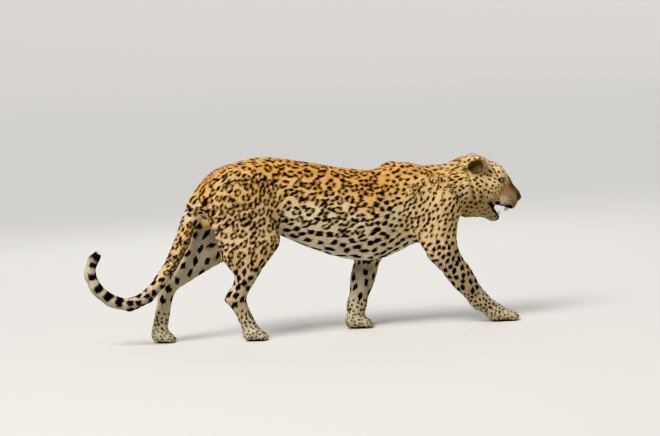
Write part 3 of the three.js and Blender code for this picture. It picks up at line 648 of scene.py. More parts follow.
x, z = seed_at[:, 0], seed_at[:, 2]
trunk = is_part(seed_owner, "torso")
give(trunk, ROSETTE, 0.0196, 0.0184, 0.0425)
give(trunk & (seed_high > 0.9) & (x < 0.34), OPEN, 0.0175, 0.0145, 0.0365)
give(trunk & (seed_high < 0.34), ROSETTE, 0.0186, 0.0160, 0.0402)
give(trunk & (seed_high < 0.24), SPOT, 0.0185, 0.0125, 0.0415)
give(trunk & (seed_high < 0.1), BAR, 0.0245, 0.0115, 0.0480)
give(trunk & (x > 0.25) & (seed_high < 0.62), SPOT, 0.0148, 0.0112, 0.0320)
give(trunk & (x > 0.33), SPOT, 0.0105, 0.0076, 0.0235)
give(trunk & (x > 0.33) & (seed_high < 0.3), SPOT, 0.015, 0.009, 0.034)
neck = is_part(seed_owner, "neck")
give(neck, SPOT, 0.0085, 0.0062, 0.0200)
give(neck & (seed_high > 0.62), OPEN, 0.0115, 0.0088, 0.0250)
give(neck & (seed_high < 0.12), BAR, 0.015, 0.006, 0.036)
upper = is_part(seed_owner, "fore_right_upper", "fore_left_upper")
give(upper, SPOT, 0.0098, 0.0066, 0.0208)
give(upper & (z > 0.52), OPEN, 0.013, 0.010, 0.0275)
give(upper & (z < 0.36), SPOT, 0.0115, 0.0085, 0.0258)
forearm = is_part(seed_owner, "fore_right_forearm", "fore_left_forearm")
give(forearm, SPOT, 0.0126, 0.0096, 0.0290)
give(forearm & (seed_out < -0.3), BAR, 0.017, 0.0105, 0.0400)
thigh = is_part(seed_owner, "hind_right_thigh", "hind_left_thigh")
give(thigh, ROSETTE, 0.0166, 0.0154, 0.0355)
give(thigh & (seed_out < -0.2), BAR, 0.022, 0.011, 0.050)
shank = is_part(seed_owner, "hind_right_shank", "hind_left_shank")
give(shank, SPOT, 0.0148, 0.0118, 0.0330)
give(shank & (z > 0.3) & (seed_out > -0.2), ROSETTE, 0.0158, 0.0140, 0.0345)
give(shank & (seed_out < -0.3), BAR, 0.019, 0.011, 0.048)
foot = leg_here[skin_faces[seed_face, 0]] & (z < 0.125)
give(foot, SPOT, 0.0068, 0.0054, 0.0180)
give(foot & (z < 0.06), SPOT, 0.0046, 0.0040, 0.0138)
brow = is_part(seed_owner, "head")
give(brow, SPOT, 0.0064, 0.0048, 0.0180)
give(brow & (seed_head[:, 0] < 0.02) & (seed_head[:, 2] < 0.03), SPOT, 0.0085, 0.0052, 0.0215)
give(brow & (seed_head[:, 0] > 0.045), SPOT, 0.0040, 0.0032, 0.0140)
give(is_part(seed_owner, "jaw"), SPOT, 0.0055, 0.0035, 0.0190)
tailed = is_part(seed_owner, "tail")
give(tailed, ROSETTE, 0.0142, 0.0130, 0.0300)
give(tailed & (seed_tail > 0.42), SPOT, 0.0150, 0.0125, 0.0315)
bare = is_part(seed_owner, "ear", "scrotum")
bare |= (brow & (seed_head[:, 0] > 0.085)) | (tailed & (seed_tail > 0.66))
bare |= is_part(seed_owner, "jaw") & (seed_head[:, 2] > -0.052)


def too_close(i, j):
    gap = seed_at[i] - seed_at[j]
    return gap @ gap < (0.5 * (size[i, 2] + size[j, 2])) ** 2 and seed_normal[i] @ seed_normal[j] > 0


CELL = 0.045
AROUND = [(dx, dy, dz) for dx in (-1, 0, 1) for dy in (-1, 0, 1) for dz in (-1, 0, 1)]
cells = {}
kept = []
for i in np.nonzero(~bare)[0].tolist():
    cx, cy, cz = np.floor(seed_at[i] / CELL).astype(int).tolist()
    near = (j for dx, dy, dz in AROUND for j in cells.get((cx + dx, cy + dy, cz + dz), ()))
    if not any(too_close(i, j) for j in near):
        cells.setdefault((cx, cy, cz), []).append(i)
        kept.append(i)
kept = np.array(kept)

# each marking then settles in the middle of its own field, so that they lie as evenly as real ones do;
# places stand out along their normals by APART, which keeps the two sides of a thin part from sharing one
APART, SETTLINGS = 0.012, 9
spread = seed_at + APART * seed_normal


def nearest_of(rows, wanted):
    """For each wanted place, which of the rows of spread lies nearest."""
    tree = KDTree(len(rows))
    for k, at in enumerate(spread[rows].tolist()):
        tree.insert(at, k)
    tree.balance()
    return np.array([tree.find(at)[1] for at in wanted.tolist()])


furred = np.nonzero(~bare)[0]
pull = np.where(bare, 0.0, size[:, 2] ** -4.0)
for _ in range(SETTLINGS):
    field = nearest_of(kept, spread)
    total = np.maximum(np.bincount(field, pull, len(kept)), 1e-9)
    middle = np.stack([np.bincount(field, pull * spread[:, k], len(kept)) / total for k in range(3)], 1)
    kept = np.unique(furred[nearest_of(furred, middle)])


BLOCK, BLOCKS = 0.03, 1000
RING_AT, RING_THIN, RING_THICK = 0.72, 0.215, 0.140
SIZE_LEAST, SIZE_MOST, TURN_SPREAD = 0.86, 1.14, 0.28
TAIL_BAND, BEAD_ROW, BEAD = 0.062, 0.0095, 0.0085


def block_code(cells):
    return (cells[..., 0] * BLOCKS + cells[..., 1]) * BLOCKS + cells[..., 2]


def marked(at, facing):
    """How dark each point is, and how far it lies in the warm heart of a rosette."""
    dark, heart = np.zeros(len(at)), np.zeros(len(at))
    rng = np.random.default_rng(7)
    code = block_code(np.floor(at / BLOCK).astype(np.int64) + 200)
    order = np.argsort(code, kind="stable")
    ranked = code[order]
    shifted = at + 0.0011 * np.stack([wander(at, 0.011, s) for s in (11, 12, 13)], 1)
    for i in kept:
        centre, face_on, course = seed_at[i], seed_normal[i], seed_lay[i]
        length = size[i, 0] * rng.uniform(SIZE_LEAST, SIZE_MOST)
        breadth = size[i, 1] * rng.uniform(SIZE_LEAST, SIZE_MOST)
        turn = rng.normal(0, TURN_SPREAD)
        side = np.cross(face_on, course)
        a = course * math.cos(turn) + side * math.sin(turn)
        b = np.cross(face_on, a)
        lobes, phase, skew = rng.integers(2, 5), rng.uniform(0, 6.28), rng.uniform(0, 6.28)
        wobble = rng.uniform(0, 6.28, 2)
        base = np.floor(centre / BLOCK).astype(np.int64) + 200
        rows = []
        for dx in (-1, 0, 1):
            for dy in (-1, 0, 1):
                first = block_code(base + (dx, dy, -1))
                lo, hi = np.searchsorted(ranked, first), np.searchsorted(ranked, first + 3)
                rows.append(order[lo:hi])
        rows = np.concatenate(rows)
        gap = shifted[rows] - centre
        rows = rows[((gap * gap).sum(1) < (1.5 * length) ** 2) & (facing[rows] @ face_on > 0.1)]
        if not len(rows):
            continue
        gap = shifted[rows] - centre
        u, v = gap @ a / length, gap @ b / breadth
        angle = np.arctan2(v, u)
        uneven = 0.10 * np.sin(2 * angle + wobble[0]) + 0.07 * np.sin(3 * angle + wobble[1])
        reach = np.hypot(u, v) * (1 + uneven)
        soft = 0.0008 / breadth
        if kind[i] in (ROSETTE, OPEN):
            wide = 0.5 + 0.5 * np.cos(lobes * angle + phase + 0.7 * np.sin(angle + skew))
            gape = 0.10 if kind[i] == ROSETTE else 0.13
            half = (RING_THIN + RING_THICK * stepped(0.10, 0.75, wide)) * stepped(0.0, gape, wide)
            if kind[i] == OPEN:
                half = half * 1.15 * stepped(-0.97, -0.60, np.cos(angle - skew))
            value = stepped(half + soft, half - soft, np.abs(reach - RING_AT))
            value[half < 0.02] = 0
            warm = stepped(0.80, 0.55, reach) * (1.0 if kind[i] == ROSETTE else 0.5)
            heart[rows] = np.maximum(heart[rows], warm)
        else:
            edge = 0.92 + 0.10 * np.sin(4 * angle + phase)
            value = stepped(edge + 1.4 * soft, edge - 1.4 * soft, reach)
        dark[rows] = np.maximum(dark[rows], value)
    return dark, heart


def tail_bands(dark, at, facing):
    """The bands and the black tip over the tail's last third."""
    share, course = along_tail(at)
    dorsal = dorsal_of(facing, course)
    on_tail = (at[:, 0] < -0.50) & (at[:, 2] < 0.41) & (share > 0.42) & (np.abs(at[:, 1]) < 0.045)
    hoop = np.sin((share + 0.006 * wander(at, 0.03, 21)) * 2 * math.pi / TAIL_BAND)
    band = stepped(-0.12, 0.12, hoop + 0.35 * dorsal - 0.05)
    band *= stepped(-0.75, -0.35, dorsal) * stepped(0.64, 0.67, share)
    tip = stepped(0.955, 0.975, share)
    return np.where(on_tail, np.maximum(dark, np.maximum(band, tip)), dark)


def mouth_lines(dark, at, facing):
    """The rows of dark beads on the whisker pads, and the dark lips."""
    out, _, rise = in_head(at).T
    jaw_out, _, jaw_rise = in_jaw(at).T
    rows = 0.5 + 0.5 * np.cos((rise + 0.10 * (out - 0.1)) * 2 * math.pi / BEAD_ROW)
    beads = 0.5 + 0.5 * np.cos(out * 2 * math.pi / BEAD)
    line = stepped(0.62, 0.86, rows * (0.45 + 0.55 * beads))
    line *= stepped(0.086, 0.096, out) * stepped(0.150, 0.138, out)
    line *= stepped(-0.032, -0.026, rise) * stepped(0.020, 0.012, rise)
    dark = np.where((out > 0.07) & (rise < 0.03) & (at[:, 0] > 0.75), np.maximum(dark, line), dark)
    upper_lip = stepped(-0.52, -0.66, (facing @ HEAD_TURN)[:, 2]) * stepped(0.062, 0.076, out)
    upper_lip *= stepped(-0.014, -0.022, rise) * (rise > -0.052)
    lower_lip = stepped(0.060, 0.082, jaw_out) * (jaw_rise < 0.012) * (rise < -0.030)
    lower_lip *= stepped(-0.0085, -0.0045, jaw_rise) * stepped(0.168, 0.160, jaw_out)
    return np.where(on_face(at), np.maximum(dark, np.maximum(upper_lip, lower_lip)), dark)


def on_face(at):
    return (at[:, 0] > 0.70) & (at[:, 2] > FACE_ABOVE)


def eye_lines(dark, under, at):
    """The dark line round each eye and from its inner corner, with a pale patch above and below it."""
    for (eye_name, (eye_centre, _)), hand in zip(EYES.items(), (-1.0, 1.0)):
        ahead, across, rise = in_eye(at, eye_name).T
        liner = stepped(1.0, 0.86, np.hypot(across / 0.0185, rise / 0.0118)) * (ahead > 0)
        tear = np.exp(-(((across * -hand - 0.020) / 0.0075) ** 2 + ((rise + 0.006) / 0.0035) ** 2))
        tear *= ahead > -0.004
        pale = np.exp(-((across / 0.017) ** 2 + ((rise - 0.0185) / 0.0055) ** 2))
        pale += 0.8 * np.exp(-((across / 0.015) ** 2 + ((rise + 0.0165) / 0.0045) ** 2))
        far = np.linalg.norm(at - eye_centre, axis=1)
        pale *= (ahead > 0) * (far < 0.04)
        under = tinted(under, linear(232, 214, 190), np.clip(1.2 * pale, 0, 1))
        dark = dark * (1 - 0.85 * np.clip(1.3 * pale, 0, 1))
        dark = np.where(far < 0.034, np.maximum(dark, np.maximum(liner, stepped(0.4, 0.7, tear))), dark)
    return dark, under


def hide_colour(at, facing, under):
    """Colour of the hide at points, over its ground colour there."""
    dark, heart = marked(at, facing)
    dark = tail_bands(dark, at, facing)
    dark = mouth_lines(dark, at, facing)
    dark, under = eye_lines(dark, under, at)
    dark = np.where(ear_places(at, facing)[0], 0.0, dark)
    out, across, rise = in_head(at).T
    cleft = np.exp(-(across / 0.0016) ** 2) * (out > 0.150) * (rise < 0.012) * (rise > -0.024) * on_face(at)
    dark = np.maximum(dark, stepped(0.3, 0.6, cleft))
    # painted shade: the grooves between the toes are darkened
    under = under * (1 - 0.55 * toe_grooves(at)[0])[:, None]
    # the edge of the cheek's ruff: a pale cream line is painted highlight where light catches the fringe, and
    # the band behind it is darkened as painted shadow
    before, stretch = past_ruff(at)
    before = before + 0.0016 * wander(at, 0.02, 33)
    ruff_highlight_line = np.exp(-(before / 0.0034) ** 2) * stretch
    shadow_line = np.exp(-((before + 0.0105) / 0.0065) ** 2) * stretch
    under = tinted(under, linear(240, 214, 152), 0.9 * ruff_highlight_line)
    under = under * (1 - 0.50 * shadow_line)[:, None]
    dark = dark * (1 - 0.9 * ruff_highlight_line)
    throat = np.exp(-(((at[:, 0] - 0.640) / 0.030) ** 2 + ((at[:, 2] - 0.420) / 0.022) ** 2))
    throat *= np.abs(at[:, 1]) > 0.012
    dark = np.maximum(dark, stepped(0.5, 0.7, throat + 0.08 * wander(at, 0.02, 31)))
    high = height_share(at)
    warm = stops(high, (0.2, linear(184, 134, 80)), (0.6, linear(196, 130, 62)), (0.85, linear(190, 108, 38)))
    colour = tinted(under, warm, 0.40 * heart)
    colour = colour * (1 + 0.07 * wander(at, 0.05, 3) + 0.05 * wander(at, 0.012, 4))[:, None]
    ink = stops(high, (0.2, linear(17, 14, 12)), (0.8, linear(20, 13, 9)))
    return tinted(colour, ink, np.clip(dark, 0, 1))


skin_colour = np.clip(hide_colour(points, normals, ground), 0.004, 1)

# bare places: the mouth, under the nose, round the eyes and the pads of the paws
head_facing = normals @ HEAD_TURN
jaw_at = in_jaw(points)
jaw_facing = head_facing @ JAW_TURN
mouth_spin = turned("Y", math.radians(6))
mouth_at = ((head_at - (0.092, 0, -0.044)) @ mouth_spin) / (0.068, 0.0245, 0.0235)
in_mouth = (head_here | jaw_here) & ((mouth_at ** 2).sum(1) < 1.0)
in_mouth |= jaw_here & (jaw_at[:, 2] > -0.0015) & (jaw_facing[:, 2] > 0.55) & (jaw_at[:, 0] > 0.055)
in_mouth |= jaw_here & ((((jaw_at - (0.100, 0, 0.008)) / (0.054, 0.0165, 0.0165)) ** 2).sum(1) < 1.0)
palate = (head_facing[:, 2] < -0.80) & (np.abs(across) < 0.030) & (out > 0.07) & (rise < -0.026)
in_mouth |= head_here & palate
in_nose = head_here & ((((head_at - (0.155, 0, 0.022)) / (0.0190, 0.0240, 0.0190)) ** 2).sum(1) < 1.0)
at_eye = np.zeros(len(points), bool)
for eye_name in EYES:
    at_eye |= in_eye_slit(points, eye_name, 1.42)
at_pad = leg_here & (normals[:, 2] < -0.6) & (points[:, 2] < 0.010)
naked = eased((in_mouth | in_nose | at_eye | at_pad).astype(float)[:, None], skin_edges, 1)[:, 0]
lining = np.where((in_nose | at_eye)[:, None], linear(26, 20, 18), linear(74, 36, 34))
lining[at_pad] = linear(62, 46, 40)
skin_colour = tinted(skin_colour, lining, np.clip(naked, 0, 1))

skin.data.uv_layers.active = skin.data.uv_layers.new(name="OFBake")
all_in_edit(skin)
bpy.ops.uv.smart_project(angle_limit=math.radians(70), island_margin=0.001)
bpy.ops.object.mode_set(mode="OBJECT")
patch_flat = np.empty(len(skin.data.loops) * 2)
skin.data.uv_layers["OFBake"].data.foreach_get("uv", patch_flat)
skin.data.calc_loop_triangles()
triangle_loops = np.empty(len(skin.data.loop_triangles) * 3, int)
skin.data.loop_triangles.foreach_get("loops", triangle_loops)
skin_patch = patch_flat.reshape(-1, 2)[triangle_loops.reshape(-1, 3)]


def colour_points(piece, colour):
    layer = piece.data.attributes.new("coat_colour", "FLOAT_COLOR", "POINT")
    layer.data.foreach_set("color", np.insert(colour, 3, 1.0, axis=1).astype(np.float32).ravel())


def new_material(name, roughness, **settings):
    """A material, its nodes and its surface; settings name the surface's own sockets."""
    made = bpy.data.materials.new(name)
    made.use_nodes = True
    shader = made.node_tree.nodes["Principled BSDF"]
    shader.inputs["Roughness"].default_value = roughness
    for socket, value in settings.items():
        shader.inputs[socket.replace("_", " ")].default_value = value
    return made, made.node_tree, shader


def attribute_in(web, name):
    node = web.nodes.new("ShaderNodeAttribute")
    node.attribute_name = name
    return node


def grain_in(web, sort, scale, detail=2.0):
    """A texture laid in the piece's own space."""
    place = web.nodes.new("ShaderNodeTexCoord")
    grain = web.nodes.new("ShaderNodeTex" + sort)
    grain.inputs["Scale"].default_value = scale
    if sort == "Noise":
        grain.inputs["Detail"].default_value = detail
    web.links.new(place.outputs["Object"], grain.inputs["Vector"])
    return grain


def raise_by(web, shader, height, strength, distance, invert=False):
    bump = web.nodes.new("ShaderNodeBump")
    bump.invert = invert
    bump.inputs["Strength"].default_value = strength
    bump.inputs["Distance"].default_value = distance
    web.links.new(height, bump.inputs["Height"])
    web.links.new(bump.outputs["Normal"], shader.inputs["Normal"])


def mix_in(web, blend, amount, first, second):
    """Two colours mixed; the amount may be a number or come from a node."""
    mix = web.nodes.new("ShaderNodeMixRGB")
    mix.blend_type = blend
    if isinstance(amount, float):
        mix.inputs["Fac"].default_value = amount
    else:
        web.links.new(amount, mix.inputs["Fac"])
    web.links.new(first, mix.inputs["Color1"])
    if isinstance(second, tuple):
        mix.inputs["Color2"].default_value = second
    else:
        web.links.new(second, mix.inputs["Color2"])
    return mix.outputs["Color"]


def tones_in(web, level, low, high, low_at=0.0, high_at=1.0):
    """Shades from low to high by a level."""
    tone = web.nodes.new("ShaderNodeValToRGB")
    first, last = tone.color_ramp.elements
    first.position, first.color = low_at, (*linear(*low), 1)
    last.position, last.color = high_at, (*linear(*high), 1)
    web.links.new(level, tone.inputs["Fac"])
    return tone.outputs["Color"]


colour_points(skin, skin_colour)
hide, web, shader = new_material("hide", 0.62, Specular_IOR_Level=0.3)
painted = attribute_in(web, "coat_colour")
nap = grain_in(web, "Noise", 420.0, 3.0)
raise_by(web, shader, nap.outputs["Fac"], 0.5, 0.0012)
dappled = mix_in(web, "MULTIPLY", 0.35, painted.outputs["Color"], nap.outputs["Fac"])
web.links.new(dappled, shader.inputs["Base Color"])
skin.data.materials.append(hide)
take(skin)
bpy.ops.object.shade_smooth()

# The coat: short dense fur, in tufts rooted in the skin and lying back along the body. It is longest
# on belly, neck and tail, shortest on face, ears and feet, and every tuft carries the hide's markings.
TUFT = {
    "torso": (0.0150, 0.0028, 0.0027), "neck": (0.0150, 0.0027, 0.0026), "head": (0.0062, 0.0014, 0.0016),
    "jaw": (0.0075, 0.0014, 0.0017), "ear": (0.0060, 0.0012, 0.0015), "scrotum": (0.0055, 0.0016, 0.0020),
    "tail": (0.0140, 0.0025, 0.0023), "thigh": (0.0140, 0.0027, 0.0026), "shank": (0.0110, 0.0023, 0.0023),
    "foot": (0.0066, 0.0017, 0.0019), "upper": (0.0130, 0.0026, 0.0025), "forearm": (0.0105, 0.0022, 0.0022),
    "paw": (0.0062, 0.0016, 0.0018),
}
TUFTS_IN_ALL, TUFTS_A_PIECE = 366000, 49000
ROOT_SUNK, FACET_LEAN = 0.0008, 0.55
grown = np.array([next(v for k, v in TUFT.items() if k in name) for name in FLESH])
vertex_tuft = eased(grown[owner], skin_edges, 10)
depth_here = eased(np.array([COAT_DEPTH[name] for name in FLESH])[owner][:, None], skin_edges, 10)
belly_share = stepped(0.16, 0.0, height) * is_part(owner, "torso", "neck")
vertex_tuft[:, 0] *= 1 + 0.30 * belly_share
snout_share = stepped(0.03, 0.10, out) * (points[:, 0] > 0.74) * (points[:, 2] > 0.38)
vertex_tuft[:, 0] *= 1 - 0.45 * snout_share
vertex_tuft[:, 1:] *= 1 - 0.15 * snout_share[:, None]

coat_room = np.concatenate([vertex_tuft, depth_here, naked[:, None]], 1)
face_room = mixed(coat_room, np.arange(len(skin_faces)), np.full((len(skin_faces), 3), 1 / 3))
nap_dice = np.random.default_rng(97)
growth = area / face_room[:, 2] ** 2 * (face_room[:, 4] < 0.5)
root_face, root_share, root_at = scattered(TUFTS_IN_ALL, growth, nap_dice)
long_, wide_, _, deep_, _ = mixed(coat_room, root_face, root_share).T
root_normal = unit(mixed(normals, root_face, root_share))
root_lay = unit(mixed(lay, root_face, root_share))
root_under = mixed(ground, root_face, root_share)

swirl = 0.15 * wander(root_at, 0.045, 51) + 0.12 * wander(root_at, 0.018, 52)
swirl += nap_dice.normal(0, 0.13, len(root_at))
side = np.cross(root_normal, root_lay)
course = root_lay * np.cos(swirl)[:, None] + side * np.sin(swirl)[:, None]
course = unit(course - root_normal * (course * root_normal).sum(1, keepdims=True))
side = np.cross(root_normal, course)
cup_hair, _ = ear_places(root_at, root_normal)
before, stretch = past_ruff(root_at)
ruff_hair = np.exp(-((before - 0.003) / 0.008) ** 2) * stretch
long_ = long_ * np.where(cup_hair, 1.7, 1 + 0.55 * ruff_hair) * nap_dice.uniform(0.72, 1.25, len(long_))
wide_ = wide_ * nap_dice.uniform(0.75, 1.2, len(wide_))

skin_tree = BVHTree.FromPolygons([tuple(p) for p in points.tolist()], skin_faces.tolist())


def on_skin(at):
    """The nearest place on the skin to each point, and the way out there."""
    places, outs = np.empty_like(at), np.empty_like(at)
    for i, p in enumerate(at.tolist()):
        place, out_way, _, _ = skin_tree.find_nearest(p)
        places[i], outs[i] = place, out_way
    return places, outs


reached = root_at + course * long_[:, None]
tip_at, tip_normal = on_skin(reached)
folded = ((tip_normal * root_normal).sum(1) < 0.1) | (np.linalg.norm(tip_at - reached, axis=1) > 0.5 * long_)
tip_at[folded], tip_normal[folded] = reached[folded], root_normal[folded]
clumps = np.clip(wander(root_at, 0.03, 53), -1, 1)
flare = deep_ * (0.42 + 0.32 * nap_dice.uniform(size=len(deep_)) + 0.16 * clumps)
flare = np.maximum(flare * (1 + 1.1 * ruff_hair + 1.2 * cup_hair), 0.0004)
thick = 0.45 * wide_
tip = tip_at + tip_normal * flare[:, None]
tip[:, 2] = np.maximum(tip[:, 2], 0.0003)

covering = np.zeros(len(root_at), bool)
for eye_name in ("eye_right", "eye_left"):
    for at in (root_at, 0.4 * root_at + 0.6 * tip, tip):
        covering |= in_eye_slit(at, eye_name, 1.16)
keep = ~covering
root_at, root_normal, root_under, course, side, cup_hair = (
    v[keep] for v in (root_at, root_normal, root_under, course, side, cup_hair))
tip, tip_at, tip_normal, wide_, thick, root_face, root_share = (
    v[keep] for v in (tip, tip_at, tip_normal, wide_, thick, root_face, root_share))

foot_left = root_at - side * (0.5 * wide_)[:, None] - root_normal * ROOT_SUNK
foot_right = root_at + side * (0.5 * wide_)[:, None] - root_normal * ROOT_SUNK
foot_top = root_at + root_normal * thick[:, None]
tuft_points = np.stack([foot_left, foot_right, foot_top, tip], 1)
tuft_points[..., 2] = np.maximum(tuft_points[..., 2], 0.0002)
tuft_normals = np.stack([
    unit(root_normal - side * FACET_LEAN), unit(root_normal + side * FACET_LEAN), root_normal,
    unit(tip_normal + 0.35 * root_normal)], 1)
shown_at = root_at + 0.62 * (tip_at - root_at)
shown = hide_colour(shown_at, root_normal, root_under)
pale_hair = cup_hair & (nap_dice.uniform(size=len(root_at)) < 0.38)
shown[pale_hair] = linear(158, 136, 98)
shown = shown * (1 + 0.09 * nap_dice.normal(size=len(root_at)))[:, None]
# painted shade: each tuft is darker at its root and lighter at its tip, for the shade the hairs cast on one
# another
tuft_colours = np.clip(np.stack([shown * 0.80, shown * 0.80, shown * 0.86, shown * 1.08], 1), 0.004, 1)

TUFT_FACES = np.array([[0, 3, 2], [2, 3, 1], [1, 3, 0], [0, 2, 1]])
PATCH = np.array([[-0.0015, -0.0015], [0.0015, -0.0015], [0.0, -0.0005], [0.0, 0.0015]])

fur, web, shader = new_material("fur", 0.52, Specular_IOR_Level=0.16, Sheen_Weight=0.06, Sheen_Roughness=0.4)
shader.inputs["Sheen Tint"].default_value = (1.0, 0.93, 0.82, 1)
web.links.new(attribute_in(web, "coat_colour").outputs["Color"], shader.inputs["Base Color"])

root_patch = (skin_patch[root_face] * root_share[..., None]).sum(1)
order = np.argsort(root_at[:, 0])
share_out = np.array_split(order, math.ceil(len(order) / TUFTS_A_PIECE))
for number, rows in enumerate(share_out):
    count = len(rows)
    loops = ((np.arange(count) * 4)[:, None, None] + TUFT_FACES).ravel()
    mesh = bpy.data.meshes.new("coat_%d" % (number + 1))
    mesh.vertices.add(count * 4)
    mesh.vertices.foreach_set("co", tuft_points[rows].ravel())
    mesh.loops.add(len(loops))
    mesh.loops.foreach_set("vertex_index", loops)
    mesh.polygons.add(count * 4)
    mesh.polygons.foreach_set("loop_start", np.arange(count * 4) * 3)
    mesh.update(calc_edges=True)
    piece = bpy.data.objects.new("coat_%d" % (number + 1), mesh)
    bpy.context.collection.objects.link(piece)
    colour_points(piece, tuft_colours[rows].reshape(-1, 3))
    patches = root_patch[rows][:, None, :] + PATCH[TUFT_FACES.ravel()][None]
    mesh.uv_layers.new(name="OFBake").data.foreach_set("uv", patches.ravel())
    mesh.polygons.foreach_set("use_smooth", np.ones(count * 4, bool))
    mesh.normals_split_custom_set_from_vertices(tuft_normals[rows].reshape(-1, 3))
    mesh.materials.append(fur)
    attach(piece, "root")

# The eyes: wet balls set deep in the head, yellow-green round a dark round pupil. They take the place of
# the plain eye solids; the front swells a little where the clear cornea lies over the iris.
EYE_RADIUS, CORNEA_RISE = 0.0139, 0.0011
IRIS_STOPS = [
    (0.0, (4, 4, 5)), (0.245, (4, 4, 5)), (0.275, (96, 66, 22)), (0.36, (190, 158, 66)),
    (0.52, (176, 164, 84)), (0.62, (128, 112, 52)), (0.69, (26, 20, 12)), (0.76, (34, 24, 18)),
    (1.0, (96, 70, 58)),
]
cornea, web, shader = new_material(
    "wet_eye", 0.12, Specular_IOR_Level=0.2, Coat_Weight=0.6, Coat_Roughness=0.02)
gaze_place = attribute_in(web, "gaze_place")
split = web.nodes.new("ShaderNodeSeparateXYZ")
web.links.new(gaze_place.outputs["Vector"], split.inputs["Vector"])
bands = web.nodes.new("ShaderNodeValToRGB")
while len(bands.color_ramp.elements) < len(IRIS_STOPS):
    bands.color_ramp.elements.new(0.5)
for element, (stop, shade) in zip(bands.color_ramp.elements, IRIS_STOPS):
    element.position = stop
    element.color = (*linear(*shade), 1)
web.links.new(split.outputs["Z"], bands.inputs["Fac"])
rays = web.nodes.new("ShaderNodeTexNoise")
rays.inputs["Scale"].default_value = 9.0
rays.inputs["Detail"].default_value = 4.0
web.links.new(gaze_place.outputs["Vector"], rays.inputs["Vector"])
streaked = mix_in(web, "OVERLAY", 0.6, bands.outputs["Color"], rays.outputs["Fac"])
web.links.new(streaked, shader.inputs["Base Color"])
for eye_name, (eye_centre, eye_turn) in EYES.items():
    let_go()
    bpy.ops.mesh.primitive_uv_sphere_add(segments=72, ring_count=56, radius=EYE_RADIUS)
    ball = bpy.context.object
    ball.name = ball.data.name = eye_name + "_ball"
    local = points_of(ball)[:, [2, 0, 1]]
    off_gaze = np.hypot(local[:, 1], local[:, 2]) / EYE_RADIUS
    front = local[:, 0] > 0
    local *= 1 + (CORNEA_RISE / EYE_RADIUS) * (front * stepped(0.80, 0.55, off_gaze))[:, None]
    around = np.arctan2(local[:, 2], local[:, 1])
    put_points(ball, local @ eye_turn.T + eye_centre)
    spread = ball.data.attributes.new("gaze_place", "FLOAT_VECTOR", "POINT")
    spread.data.foreach_set("vector", np.stack(
        [np.cos(around), np.sin(around), np.where(front, off_gaze, 1.0)], 1).astype(np.float32).ravel())
    ball.data.materials.append(cornea)
    bpy.ops.object.shade_smooth()
    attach(ball, "root")
    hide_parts(eye_name)

# The lids' rims: bare dark skin round each eye, thickest above, drawn to a point at the tear duct. Each is
# one closed roll that lies on the ball inside and runs under the fur outside.
RIM_SECTION = [  # share of the lids' opening, and millimetres from the eye's middle
    (0.95, 13.2), (0.975, 14.3), (1.02, 15.0), (1.09, 15.9), (1.20, 16.7), (1.38, 17.0), (1.56, 16.2),
    (1.50, 13.6), (1.15, 12.8),
]
RIM_STEPS = 96
lid_skin, web, shader = new_material("lid_skin", 0.42)
pores = grain_in(web, "Noise", 900.0)
web.links.new(tones_in(web, pores.outputs["Fac"], (16, 12, 11), (44, 34, 30)), shader.inputs["Base Color"])
for (eye_name, (eye_centre, eye_turn)), hand in zip(EYES.items(), (-1.0, 1.0)):
    turn_at = np.arange(RIM_STEPS) * 2 * math.pi / RIM_STEPS
    to_nose = stepped(0.80, 1.0, -hand * np.cos(turn_at))
    rows = []
    for spread_out, radius in RIM_SECTION:
        swing = LID_SWING * spread_out * np.cos(turn_at) - hand * 0.16 * to_nose
        lift = LID_LIFT * spread_out * np.sin(turn_at) * np.abs(np.sin(turn_at)) ** 0.55
        lift = np.where(lift > 0, lift * 0.92, lift) - 0.09 * to_nose
        heavy = 1 + 0.03 * np.clip(np.sin(turn_at), 0, 1) * (spread_out > 1)
        way = np.stack([np.cos(swing) * np.cos(lift), np.sin(swing) * np.cos(lift), np.sin(lift)], 1)
        rows.append(way * (radius * 0.001 * heavy)[:, None])
    rows = np.stack(rows, 1) @ eye_turn.T + eye_centre
    count, deep = rows.shape[:2]
    quads = []
    for i in range(count):
        here, beyond = i * deep, (i + 1) % count * deep
        for j in range(deep):
            k = (j + 1) % deep
            quads.append((here + j, beyond + j, beyond + k, here + k))
    mesh = bpy.data.meshes.new(eye_name + "_rim")
    mesh.from_pydata(rows.reshape(-1, 3).tolist(), [], quads)
    rim_piece = bpy.data.objects.new(eye_name + "_rim", mesh)
    bpy.context.collection.objects.link(rim_piece)
    face_outward(rim_piece)
    mesh.materials.append(lid_skin)
    bpy.ops.object.shade_smooth()
    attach(rim_piece, "root")

# The nose: one bare moist pad at the tip of the muzzle, wide above and narrow below, with a comma-shaped
# nostril on either side, darkened inside as painted shade, and a groove down its middle. It takes the place
# of the plain nose solid.
NOSE_AT, NOSE_HALF = (0.1555, 0.0, 0.0225), (0.0168, 0.0228, 0.0180)
let_go()
bpy.ops.mesh.primitive_ico_sphere_add(subdivisions=6, radius=1.0)
nose_pad = bpy.context.object
nose_pad.name = nose_pad.data.name = "nose_leather"
u = points_of(nose_pad)
wide = 0.46 + 0.54 * stepped(-0.95, 0.30, u[:, 2])
local = u * NOSE_HALF
local[:, 1] *= wide
local[:, 0] *= 1 - 0.16 * stepped(0.25, 1.0, u[:, 2])


def dimple(toward, flat, reach):
    """1 in the direction given, fading out over its reach; flat ones fade sooner up and down."""
    return np.exp(-(np.linalg.norm((u - unit(np.array(toward))) * (1, 1, flat), axis=1) / reach) ** 2)
